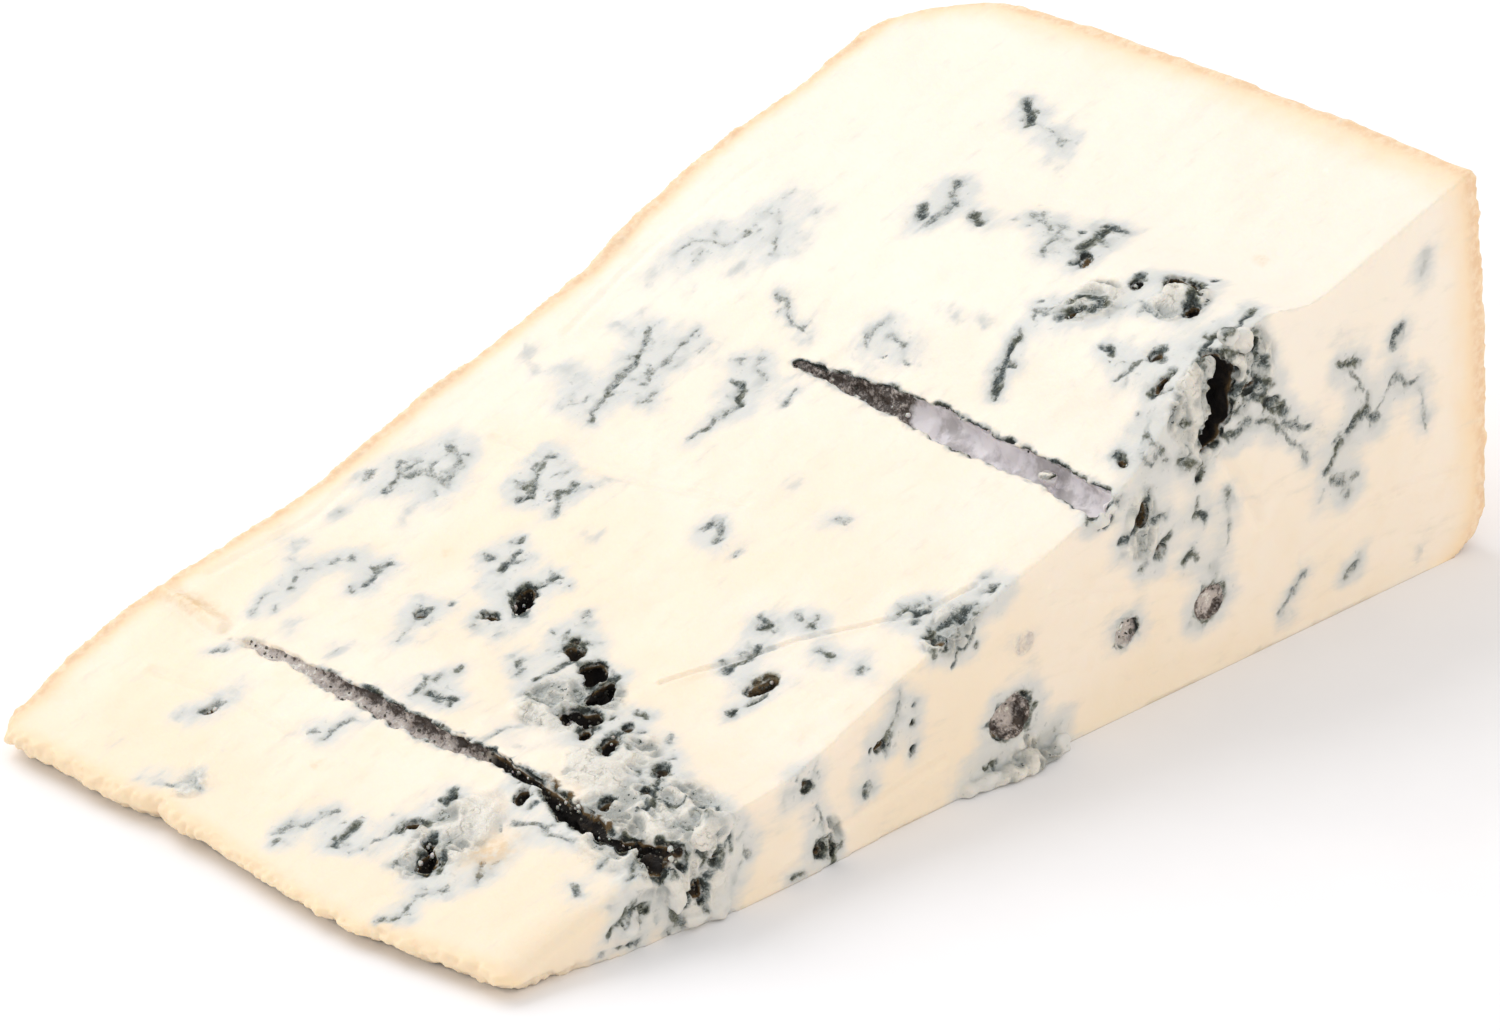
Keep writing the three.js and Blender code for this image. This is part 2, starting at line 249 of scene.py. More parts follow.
# Pits in the upper cut: X, Y, depth of the middle, half-sizes, and turn about Z.
TOP_PITS = [
    (34.6, -16.8, 1.0, (1.7, 2.6, 3.0), 0.5), (32.6, -19.4, 0.4, (1.4, 0.7, 1.4), 0.6),
    (41.6, -11.8, 1.4, (1.6, 2.6, 3.4), -0.5), (39.2, -15.2, 0.8, (2.6, 1.0, 2.2), 0.35),
    (43.3, -7.0, 0.3, (0.9, 1.6, 1.8), -0.5), (45.0, -5.4, 0.1, (0.6, 0.5, 0.9), 0.0),
    (32.6, -23.6, 0.5, (2.4, 1.0, 2.0), 0.55), (36.4, -22.6, 0.1, (0.9, 0.6, 1.0), 0.0),
    (8.0, -19.8, 0.6, (2.7, 0.9, 2.2), 0.6), (10.6, -14.8, 0.3, (0.8, 1.2, 1.6), 0.2),
    (15.6, -15.6, 0.1, (0.9, 0.6, 1.0), 0.3), (20.4, -22.0, 0.4, (1.4, 0.7, 1.4), 0.3),
    (47.0, 5.2, 0.7, (2.4, 1.3, 2.4), 0.45), (42.7, 6.2, 0.2, (0.6, 1.1, 1.4), 0.2),
    (50.6, -30.0, 0.4, (1.8, 1.1, 2.2), -0.3), (24.2, -31.2, 0.1, (0.9, 0.7, 1.1), 0.0),
    (32.4, -31.8, 0.2, (1.0, 0.7, 1.2), 0.6), (28.4, -33.6, 0.1, (0.6, 0.8, 1.0), 0.0),
    (12.6, 21.3, 0.1, (1.3, 0.7, 0.9), -0.2), (38.0, 13.2, 0.1, (0.7, 0.5, 1.1), 0.4),
    (121.0, -30.2, 1.3, (2.0, 3.8, 5.2), -0.5), (118.2, -33.9, 0.8, (2.2, 0.8, 2.4), 0.7),
    (119.3, -24.5, 0.2, (1.4, 0.6, 1.4), 0.5), (111.6, -21.6, 0.2, (1.3, 0.9, 1.2), -0.5),
    (120.2, -15.4, 0.1, (1.4, 0.6, 1.0), 0.5), (98.6, -40.9, 0.2, (0.5, 0.9, 1.2), -0.2),
    (109.4, -36.3, 0.2, (0.7, 0.7, 1.2), 0.0), (106.4, -39.6, 0.2, (1.2, 0.5, 1.2), 0.0),
]

# Pits in the mid cut: X, Z, depth of the middle, and half-sizes.
FACE_PITS = [
    (77.6, 6.9, 0.2, (3.1, 1.8, 2.6)), (79.5, 15.7, -0.6, (1.6, 0.75, 1.4)),
    (97.0, 10.9, 0.0, (1.9, 1.0, 1.6)), (111.6, 9.7, -0.3, (2.6, 0.9, 2.0)),
    (66.2, 20.8, 0.4, (0.7, 1.4, 1.3)), (68.6, 21.0, -0.45, (2.2, 0.8, 1.7)),
    (42.8, 11.0, 0.1, (1.0, 0.8, 0.7)), (44.6, 2.6, 0.3, (0.7, 1.6, 1.0)),
    (46.6, 2.4, 0.2, (0.6, 1.2, 1.2)), (55.4, 11.2, 0.3, (1.0, 1.2, 0.6)),
    (61.2, 8.8, 0.0, (0.4, 0.7, 0.4)), (61.0, 12.4, 0.0, (0.35, 0.6, 0.4)),
    (99.6, 25.2, 0.3, (0.9, 1.0, 2.2)), (102.9, 19.4, 0.0, (0.9, 0.8, 0.6)),
    (25.6, 4.6, 0.4, (1.1, 1.3, 1.2)), (28.0, 8.0, 0.1, (1.1, 0.8, 0.8)),
    (22.4, 9.4, 0.6, (1.5, 1.6, 1.2)), (17.8, 4.4, -0.3, (1.4, 0.7, 0.8)),
    (112.9, 38.2, 1.6, (2.2, 4.0, 2.6)), (112.4, 35.0, 2.0, (3.0, 5.2, 3.2)),
    (111.4, 32.0, 1.8, (2.5, 4.2, 2.8)), (111.9, 41.6, 0.4, (1.1, 1.8, 2.8)),
    (117.4, 35.4, 0.1, (2.0, 0.9, 0.7)), (117.6, 40.6, 0.0, (1.8, 0.8, 0.6)),
    (121.8, 32.2, 0.0, (1.6, 0.6, 0.7)), (109.4, 27.2, 0.0, (0.6, 0.8, 1.2)),
]

# Lumps of pressed-out and torn paste: X, Y, Z and half-sizes.
LUMPS = [
    (69.5, -44.4, 0.9, (1.8, 1.0, 0.9)), (72.6, -44.8, 1.0, (2.2, 1.2, 1.0)),
    (76.0, -45.0, 0.8, (2.4, 1.3, 1.0)), (79.4, -45.1, 0.9, (2.4, 1.5, 1.2)),
    (82.6, -44.9, 0.8, (2.2, 1.4, 1.0)), (85.2, -44.3, 0.8, (1.6, 1.0, 1.2)),
    (15.4, -43.4, 3.0, (1.6, 1.1, 1.5)), (21.8, -44.6, 5.2, (1.1, 0.8, 2.2)),
    (24.8, -44.7, 1.2, (2.2, 0.8, 1.1)), (28.6, -44.8, 1.3, (1.8, 0.9, 1.0)),
    (27.4, -44.4, 11.6, (3.0, 1.4, 1.4)), (114.9, -43.4, 38.6, (1.5, 0.9, 1.9)),
    (116.2, -43.3, 42.0, (1.5, 0.8, 1.1)), (113.6, -43.5, 43.2, (1.3, 1.0, 1.1)),
    (107.9, -43.6, 37.6, (0.9, 0.6, 4.6)),
]

# Crumbs that lie in the tracks and the large pits: X, Y, depth of the middle, and half-sizes.
CRUMBS = [
    (20.8, -41.6, 2.2, (1.0, 1.0, 1.0)), (23.0, -43.0, 2.4, (1.1, 0.9, 0.9)),
    (21.8, -43.8, 3.4, (1.3, 0.9, 1.2)), (19.6, -42.6, 2.6, (0.9, 0.9, 1.0)),
    (94.2, -33.4, 0.9, (1.1, 1.4, 0.9)), (92.0, -43.6, 1.5, (1.1, 0.9, 1.0)),
    (94.0, -43.2, 1.2, (1.0, 0.9, 0.8)), (90.6, -42.6, 0.8, (0.7, 1.0, 0.8)),
    (119.2, -31.6, 0.7, (1.1, 2.6, 1.5)), (37.2, -16.4, 0.6, (1.0, 1.4, 0.9)),
]

# Ellipsoids in which the paste tore: middle and half-sizes.
TORN_AREAS = [
    ((25, -38, 8), (11, 13, 11)), ((12, -20, 8), (9, 6, 6)), ((36, -14, 14), (8, 8, 6)),
    ((30, -26, 12), (7, 6, 6)), ((109, -44, 37), (6, 4, 12)), ((117, -44, 38), (6, 3, 6)),
    ((114, -22, 40), (6, 5, 5)), ((118, -32, 42), (5, 5, 6)), ((68, -43, 22), (6, 4, 5)),
    ((46, -44, 3), (4, 2, 3)), ((99, -43, 24), (4, 2.5, 5)), ((78, -45, 1), (9, 3, 2.4)),
    ((3.2, 15, 7.5), (3.6, 6, 3)),
]

# Dents that a blunt knife or fingernail left: width, depth and course on each cut.
TOP_CREASES = [
    (0.30, 0.26, [(44.5, -19.7), (48.3, -22.2), (52.1, -24.8), (58, -28.5), (61.5, -31.5), (65.5, -34.8),
                  (68, -37.5), (75, -40)]),
    (0.8, -0.45, [(24.4, 42.5), (24.2, 36), (23.4, 31.5)]), (0.6, 0.16, [(14, 33), (15.5, 20), (14.5, 8)]),
    (0.5, 0.14, [(66, 30), (68, 12), (72, -6)]),
    (0.6, 0.15, [(30, 40), (44, 38), (52, 39)]), (0.5, 0.12, [(84, 36), (96, 38), (118, 36)]),
]
FACE_CREASES = [
    (0.8, 0.34, [(113, 28), (116, 24), (120, 17.5)]), (0.5, 0.16, [(36, 1.6), (52, 4.6), (66, 5.8)]),
    (0.5, 0.14, [(84, 20), (96, 16.5), (108, 14)]), (0.6, 0.15, [(128, 10), (142, 13), (156, 12)]),
]

# Needle holes that the mid cut opened: X, Z, half-sizes of each, and how dark its ring is.
NEEDLE_HOLES = [(77.6, 6.9, 3.2, 2.8, 1.0), (79.5, 15.7, 1.9, 1.7, 0.1), (97.0, 10.9, 2.1, 1.9, 0.2),
                (111.6, 9.7, 2.8, 2.3, 0.8)]

# Tan stains and nicks on the upper cut, and at X 12, Y -26 a tan patch that is painted shade in a concave
# swirl: X, Y and reach along each.
TAN_STAINS_AND_SHADE = [(24.6, 37.5, 1.4, 5.0), (12.0, 2.8, 0.5, 0.6), (48.4, 19.4, 0.6, 0.4), (132.6, -32.6, 0.5, 0.5),
              (50.6, -30, 1.4, 0.8), (12.0, -26, 3.0, 2.2)]

# ---- mould veins on the two cuts ---------------------------------------------------------------
# Each row is a vein's thickness in millimetres, how dark it is, and its course, as X and Y on the upper cut.
TOP_VEINS = [
    # round the tip
    (0.8, 0.6, [(1, -2.5), (3, -1.5), (4.5, -2)]), (0.7, 0.5, [(4.5, -3.2), (6, -4), (8, -5)]),
    (0.9, 0.7, [(4, -8.6), (5.5, -8.8), (7.5, -8.8)]), (0.5, 0.5, [(5, -12), (7, -13.3), (10.8, -13.2)]),
    (1.1, 0.95, [(9, -14), (10.5, -14.6), (11, -16.3)]),
    (0.8, 0.8, [(14.8, -15), (15.8, -15.6), (16.6, -14.6)]),
    (0.7, 0.5, [(4.5, -16.8), (5.6, -17.4), (5.6, -19)]),
    (1.2, 1.0, [(5.8, -21.3), (7, -19.8), (9.8, -18.6)]),
    (0.6, 0.9, [(6.3, -22.4), (8, -22), (8.8, -21.2), (10.5, -20.4)]),
    (0.8, 0.6, [(-2.4, -22.6), (-1.4, -23.8), (0.6, -24), (2, -23.6), (3.6, -24), (5, -25.4)]),
    (0.6, 0.6, [(7.4, -28), (9, -27.6), (10, -26.4)]),
    (0.7, 0.45, [(9.8, -27.2), (11.6, -28), (13.4, -27.4)]), (0.9, 0.6, [(11.9, -39.2), (12.6, -37.7)]),
    (0.5, 0.5, [(0.5, 20.3), (1.5, 19.2), (3, 18.8)]),
    (0.6, 0.5, [(1.2, 18.4), (2, 16), (2.5, 14), (3, 12.6), (3.6, 14.2)]),
    (1.5, 0.75, [(11.6, 21.7), (12.8, 20.9), (14, 21.2)]),
    (0.5, 0.35, [(15.6, 21.6), (17, 21.2), (18.6, 22)]), (0.6, 0.5, [(9.4, 23.6), (10.2, 24)]),
    (0.6, 0.5, [(15.2, 7.6), (16, 7.2)]), (0.6, 0.6, [(15.2, 5), (17, 5.6), (18.5, 5.3), (20, 4.3)]),
    (0.8, 0.7, [(20.0, 28.4), (20.9, 28)]),
    (0.7, 0.6, [(16.6, -24), (17, -26), (17.6, -28), (17, -30), (17.6, -33)]),
    (0.6, 0.6, [(16.2, -38.3), (17.8, -38.2)]), (0.9, 0.7, [(16.8, -42.6), (18.2, -41.4), (19.4, -41.8)]),
    (0.9, 0.9, [(19.4, -22.6), (20.5, -22), (21.6, -21.4)]),
    # between the inner track and the caverns
    (0.6, 0.6, [(27, 30.2), (28.5, 30.8), (31, 31)]),
    (0.9, 0.65, [(32.5, 29.5), (34, 30.2), (36, 31), (37.6, 30.3)]),
    (0.7, 0.45, [(36, 31.5), (37, 33.5), (38.5, 35), (40.4, 37.4)]),
    (0.6, 0.55, [(29, 27.3), (29.6, 28.3)]), (1.0, 0.7, [(39.7, 29), (40.4, 29)]),
    (0.9, 0.7, [(41.3, 27.7), (41.8, 28.2)]), (0.9, 0.35, [(26.8, 23.2), (28, 24)]),
    (0.8, 0.6, [(36.3, 22.8), (37.4, 23.8)]),
    (1.0, 0.8, [(38.4, 22.6), (39.6, 23), (41, 23.5), (42.6, 23.9), (43.3, 23.4)]),
    (0.6, 0.6, [(26.4, 2), (28, 2.3)]), (0.9, 0.8, [(27.6, 0.6), (28, -1.4), (28.3, -2.4)]),
    (0.6, 0.6, [(29.5, 2.1), (31, 2.3)]), (0.6, 0.6, [(32.4, 1.2), (33.4, 1.5)]),
    (0.7, 0.35, [(26, 16.2), (28.2, 16)]), (1.1, 0.9, [(37.6, 13), (38.4, 13.4)]),
    (0.4, 0.45, [(32, 11), (35, 12), (38, 13.3), (40.5, 15.5)]), (0.6, 0.45, [(37, 10.4), (38, 11.6)]),
    (0.5, 0.7, [(34.3, -8), (34, -10.5), (33.8, -13)]),
    (0.7, 0.6, [(35.5, -6.5), (37.5, -4.2), (38.6, -3.2)]),
    (0.7, 0.75, [(36.5, -7.4), (39, -8.2), (41.2, -8)]), (0.6, 0.6, [(36, -14.2), (37.6, -15)]),
    (1.2, 1.0, [(33.4, -14.6), (34.6, -16), (35.8, -18), (34, -19.3), (32, -20.2)]),
    (1.3, 1.0, [(40, -13.6), (41.6, -11.6), (42.6, -10.2)]),
    (1.2, 1.0, [(37, -16.2), (39.6, -15), (42.4, -14.4)]),
    (0.8, 0.95, [(42.4, -8), (43, -6.6), (44.6, -5.6), (44.9, -6.8), (43.4, -7.8)]),
    (0.5, 0.6, [(43.2, -5), (44.6, -4.6), (45.6, -3.8)]), (0.4, 0.6, [(45.4, -7.4), (46.6, -8.6)]),
    (0.7, 0.7, [(47.8, -4.2), (48.8, -3.2)]), (1.4, 0.95, [(30.6, -25), (32, -24), (34.3, -22.6)]),
    (0.9, 0.9, [(35.6, -22.9), (36.6, -22.2)]), (0.6, 0.7, [(38.8, -21.4), (39.1, -22.8)]),
    (0.8, 0.6, [(36, -24.4), (36.7, -24.8)]), (0.8, 0.7, [(33.1, -26.6), (33.5, -25.7)]),
    (0.6, 0.7, [(29.4, -30.8), (31.2, -29.6)]),
    (0.9, 0.9, [(31.4, -32), (32.3, -31), (33.5, -30.8), (32.4, -32.8)]),
    (0.5, 0.6, [(34.6, -30.8), (35.4, -30.9)]), (0.5, 0.6, [(36.9, -28.3), (37.9, -27.9)]),
    (1.0, 0.85, [(23.8, -31.5), (24.7, -31)]), (0.7, 0.85, [(28.5, -32.9), (28.2, -33.9)]),
    (0.6, 0.9, [(25.2, -35.6), (27, -35.9), (28.4, -34.8), (29.2, -33.9), (32, -32.4)]),
    (0.7, 0.85, [(28, -36), (28.2, -38), (30.6, -38.6)]), (0.8, 0.7, [(29, -41), (28.4, -44)]),
    (0.7, 0.7, [(30, -40.4), (31.6, -41.6), (30.4, -43.4)]), (0.6, 0.6, [(26, -41), (26.6, -43)]),
    (0.5, 0.5, [(25.4, -11.4), (27, -11.8), (29, -12.2)]), (0.7, 0.4, [(25.8, -14.6), (26.6, -15.4)]),
    # the middle
    (1.6, 1.0, [(44.8, 3.8), (46.4, 5), (48.6, 6.2)]), (0.5, 0.8, [(49.4, 5), (51.6, 4.8)]),
    (1.0, 0.95, [(42.4, 6.8), (43, 5.6)]), (0.7, 0.5, [(40, 6.3), (41.2, 6.7)]),
    (0.9, 0.5, [(40.1, 2.5), (40.8, 2.5)]), (0.9, 0.85, [(48.8, 11), (50.3, 11.2), (52.4, 11.6)]),
    (0.8, 0.65, [(50.2, 12), (50.6, 15)]), (0.6, 0.4, [(46.4, 10.5), (48.6, 11)]),
    (0.9, 0.7, [(53.8, 13.1), (54.5, 13.3)]), (1.1, 0.75, [(52.6, 37.9), (53.6, 38.3)]),
    (1.1, 0.8, [(52.6, 34.4), (54.5, 34.6), (56, 34.9), (58.2, 34.8)]), (0.9, 0.7, [(56, 35), (57, 36.6)]),
    (0.9, 0.7, [(55.5, 33.8), (57, 33), (58, 32.5), (57.4, 31), (57, 29), (57.2, 28.3)]),
    (0.9, 0.75, [(58.2, 32.6), (60, 32.8), (62.3, 33), (63.2, 34)]),
    (1.1, 0.75, [(62, 32.5), (61, 31), (60, 30), (58.5, 29.3), (57.2, 28.4)]),
    (0.7, 0.5, [(54, 27.8), (55.5, 29), (56.5, 30.5)]), (1.0, 0.4, [(49.6, 27.6), (51.4, 29.6)]),
    (1.0, 0.5, [(46.4, 36), (47.4, 36.2)]),
    (1.1, 0.85, [(59.5, 18.3), (60.6, 17.9), (61.6, 18.8), (62, 19.6), (61.2, 20)]),
    (0.9, 0.75, [(62, 19.3), (64, 20), (66, 20.8), (67.2, 21.3)]),
    (0.8, 0.5, [(64.8, 17.8), (65.5, 17), (66.4, 17)]),
    (0.8, 0.7, [(60.2, 13), (61.5, 14.5), (62.5, 15), (63.5, 14), (64.9, 14.5)]),
    (0.6, 0.35, [(64.7, 13), (65.5, 11.4), (67.2, 11.4)]), (0.6, 0.25, [(58, 5), (60, 5.6), (61.6, 6.4)]),
    (0.7, 0.6, [(66, -5), (67.5, -5), (68.3, -5.8), (67, -7.3), (65.3, -8.2), (66.6, -8.3)]),
    (0.7, 0.4, [(64.7, -11.3), (65.4, -11.3)]), (1.0, 0.3, [(77.4, -8.6), (79, -8.8)]),
    (1.3, 0.5, [(75.2, -17.4), (75.4, -18.8)]),
    (0.6, 0.8, [(49.6, -25.2), (51.5, -25), (53, -25.6), (55, -25.3)]),
    (0.5, 0.45, [(55, -25.3), (57, -25), (58.4, -25.6)]),
    (0.9, 0.85, [(57.2, -22.8), (57.8, -23.8), (58.3, -22)]),
    (0.8, 0.7, [(61, -25.4), (60.5, -26.4), (60.2, -28.6)]), (0.6, 0.7, [(57.5, -31.8), (58, -33.8)]),
    (0.7, 0.55, [(57.3, -38.8), (58, -37.8)]), (1.2, 1.0, [(49.2, -29.4), (50.6, -30), (52, -30.8)]),
    (0.6, 0.9, [(45, -30.3), (46.2, -30.4)]), (0.5, 0.8, [(47, -31), (48.3, -31.3), (49.2, -31.9)]),
    (0.8, 0.85, [(67, -36), (68.4, -35.9)]), (0.8, 0.85, [(67.2, -38), (68.2, -37.2), (69.2, -38)]),
    (0.7, 0.7, [(68.2, -36.8), (69.4, -36.4)]),
    (0.8, 0.95, [(66, -41), (68, -41.3), (69.8, -41.4), (70.2, -42.6)]),
    (0.7, 0.8, [(70, -42.7), (72, -42), (73.5, -41.8), (75, -41.3), (76.8, -41.8)]),
    # beyond the middle, up to the outer track
    (0.7, 0.4, [(80.2, 38.4), (78.5, 37), (77.7, 35.5), (77.6, 34), (78.8, 32.5), (79.7, 30.5),
        (79.5, 28.8), (78.2, 27.5)]), (0.8, 0.55, [(74, 26), (75.3, 26), (75.5, 25.2), (77, 24.5)]),
    (0.6, 0.45, [(75.3, 25.8), (76, 27), (77.6, 27.2)]),
    (0.9, 0.75, [(73.8, 21.5), (75, 22.2), (77.5, 23), (79.5, 23.5), (82, 24), (84, 24.5),
        (86, 25.2), (88, 26.3), (89.8, 28)]), (0.9, 0.9, [(78.8, 23.4), (80.2, 23.7)]),
    (1.0, 0.9, [(83.6, 24.4), (85.6, 25)]), (0.6, 0.4, [(89.8, 28), (91, 29.5), (92, 30.4)]),
    (0.7, 0.5, [(88.3, 29.5), (88.7, 31), (89, 32.3)]),
    (0.9, 0.55, [(81.7, 21.6), (83, 20.8), (86, 21), (88.5, 21.5), (91, 22), (92.8, 22.3)]),
    (0.9, 0.75, [(82.2, 21.8), (82, 20.7)]), (1.6, 0.35, [(87.6, 24), (89.4, 24)]),
    (0.8, 0.4, [(86, 20), (88, 19), (90, 18.6), (91.4, 18.9)]),
    (0.9, 0.5, [(79.3, 18.7), (80.2, 18), (81.3, 18.4)]),
    (0.9, 0.6, [(77.5, 8.5), (79, 8.6), (80.5, 8), (83, 7.8), (85, 7.3)]),
    (0.9, 0.8, [(85, 7.3), (86.5, 8.7), (88, 10)]),
    (0.7, 0.5, [(90, 8), (90.5, 9), (90.8, 11), (92.3, 11.5)]),
    (0.8, 0.6, [(90.8, 13.8), (92, 12.5), (92.8, 11.3)]),
    (0.7, 0.5, [(87, 2.3), (88.5, 2.8), (90, 3.4), (91, 3.9)]),
    (0.6, 0.5, [(98, 9.5), (98.3, 11.5), (99.3, 13.5), (100.3, 15.5), (101.4, 17.2)]),
    (0.7, 0.3, [(95.7, 33), (97, 34), (98.8, 35)]), (1.2, 0.25, [(98.2, 29), (98.4, 30)]),
    (1.0, 0.55, [(100.5, 33.8), (102, 34), (103.6, 33.8)]), (0.8, 0.6, [(101, 31), (102.6, 31.6)]),
    (0.8, 0.55, [(103.8, 33.5), (104.6, 31.5), (104.4, 29), (105.2, 28)]),
    (1.1, 0.4, [(101.7, 24.3), (102.9, 24.6)]), (0.9, 0.5, [(105.4, 22.4), (105.6, 21.5)]),
    (1.1, 0.5, [(99.5, 1), (101.5, 1), (103, 0.2)]), (0.7, 0.55, [(101, -1.5), (101.3, -4.6)]),
    (0.9, 0.45, [(99.2, -5.6), (99.4, -6.6)]), (0.7, 0.45, [(98.5, -2.2), (99, -3)]),
    (0.7, 0.85, [(99.5, -20.2), (101, -19), (102.5, -18.2), (104.5, -17.8), (106.8, -17.5)]),
    (0.9, 0.9, [(98.6, -41.6), (98.9, -40)]), (0.9, 0.6, [(101.2, -43.4), (101.8, -41.8)]),
    # beyond the outer track
    (0.9, 0.5, [(104.6, 28.4), (106.8, 27.8), (108.6, 28), (110.2, 28.8), (112, 28.4), (115.4, 27.8)]),
    (1.0, 0.8, [(106.8, 27.8), (107.6, 27.9)]),
    (0.8, 0.5, [(105.6, 21.8), (107.6, 23.4), (109.6, 24.8), (111.6, 27)]),
    (0.9, 0.6, [(105.6, 31.2), (105.8, 32.2)]), (1.4, 0.45, [(113.2, 22.2), (113.8, 23)]),
    (0.9, 0.3, [(106.4, 19.4), (108.4, 19.3)]), (1.4, 0.8, [(118.2, 9.6), (119.2, 10.4)]),
    (1.0, 0.6, [(116.6, 7.8), (118.2, 7.5), (120, 7.2), (121.8, 7.6), (123.2, 8.6), (125.2, 10.4)]),
    (1.3, 0.75, [(124.8, 10), (125.6, 10.8)]), (1.1, 0.8, [(120, 1), (120.7, 2.2), (121.4, 3.6)]),
    (1.2, 0.9, [(139, 11), (140, 12), (141, 13), (142, 14.8)]),
    (0.8, 0.4, [(139.3, 10), (139, 7.5), (138.2, 4.8), (137, 3.6)]), (0.9, 0.6, [(137.6, 4.2), (138.4, 5)]),
    (1.2, 0.25, [(132.6, 0.6), (134, 1.6)]), (0.9, 0.6, [(124.8, -2.2), (124.2, -5.2), (123.2, -6.9)]),
    (0.7, 0.5, [(126.2, -3.2), (124.6, -5)]),
    (0.8, 0.5, [(118.3, -10.2), (119.8, -9), (122, -8.6), (124.8, -7.7)]),
    (0.7, 0.4, [(122.2, -7.6), (122.2, -10.4)]),
    (1.1, 0.9, [(119, -14.6), (120, -15.4), (121, -14.1), (122.5, -13.2), (124.6, -12.7), (127.2, -12.4)]),
    (1.1, 0.85, [(127.6, -11.8), (128, -12.8), (128, -14.6)]), (0.6, 0.6, [(124.6, -13.4), (124, -15)]),
    (0.6, 0.65, [(110.4, -16.8), (111.3, -18.1), (110.7, -19.5), (109.9, -18.4), (110.4, -16.8)]),
    (1.5, 0.8, [(110.4, -20.4), (112, -21.4), (112.6, -23), (113.4, -24.4)]),
    (1.1, 0.85, [(112.8, -20.2), (114.4, -20.4), (114.8, -22.6), (113.8, -24.4)]),
    (1.1, 0.95, [(118, -25.2), (119.4, -24.4), (120.3, -23.7)]),
    (0.5, 0.4, [(112.4, -26), (113.6, -25.2), (114.6, -26.4)]),
    (1.5, 1.0, [(116.9, -34.7), (118.4, -34), (119.9, -32.2), (120.7, -30.2), (121.1, -28.2)]),
    (1.3, 0.9, [(121.9, -27.3), (122.5, -29.2), (122.2, -31.2), (121.5, -33)]),
    (0.7, 0.55, [(115.2, -32.4), (115.7, -29.4), (116.4, -27.8)]),
    (0.7, 0.85, [(107, -31.2), (107.7, -31), (108.5, -30)]),
    (0.6, 0.6, [(105.4, -33.4), (107, -34.6), (108.2, -35.4)]),
    (0.9, 0.9, [(109, -37), (109.3, -36), (110, -35.5), (110.4, -36.3)]),
    (0.9, 0.85, [(105, -39.2), (106, -39.8), (108, -39.7)]), (0.6, 0.3, [(106, -6.6), (108.6, -6.5)]),
    (0.5, 0.3, [(106, -12.6), (107, -11)]),
    (0.9, 0.9, [(109.4, -42.5), (111, -41.5), (112.6, -40.6), (114.2, -40.4), (115.8, -40.8)]),
    (0.7, 0.85, [(115.8, -40.8), (117.4, -41.8), (119, -41.3), (121.2, -41)]),
]

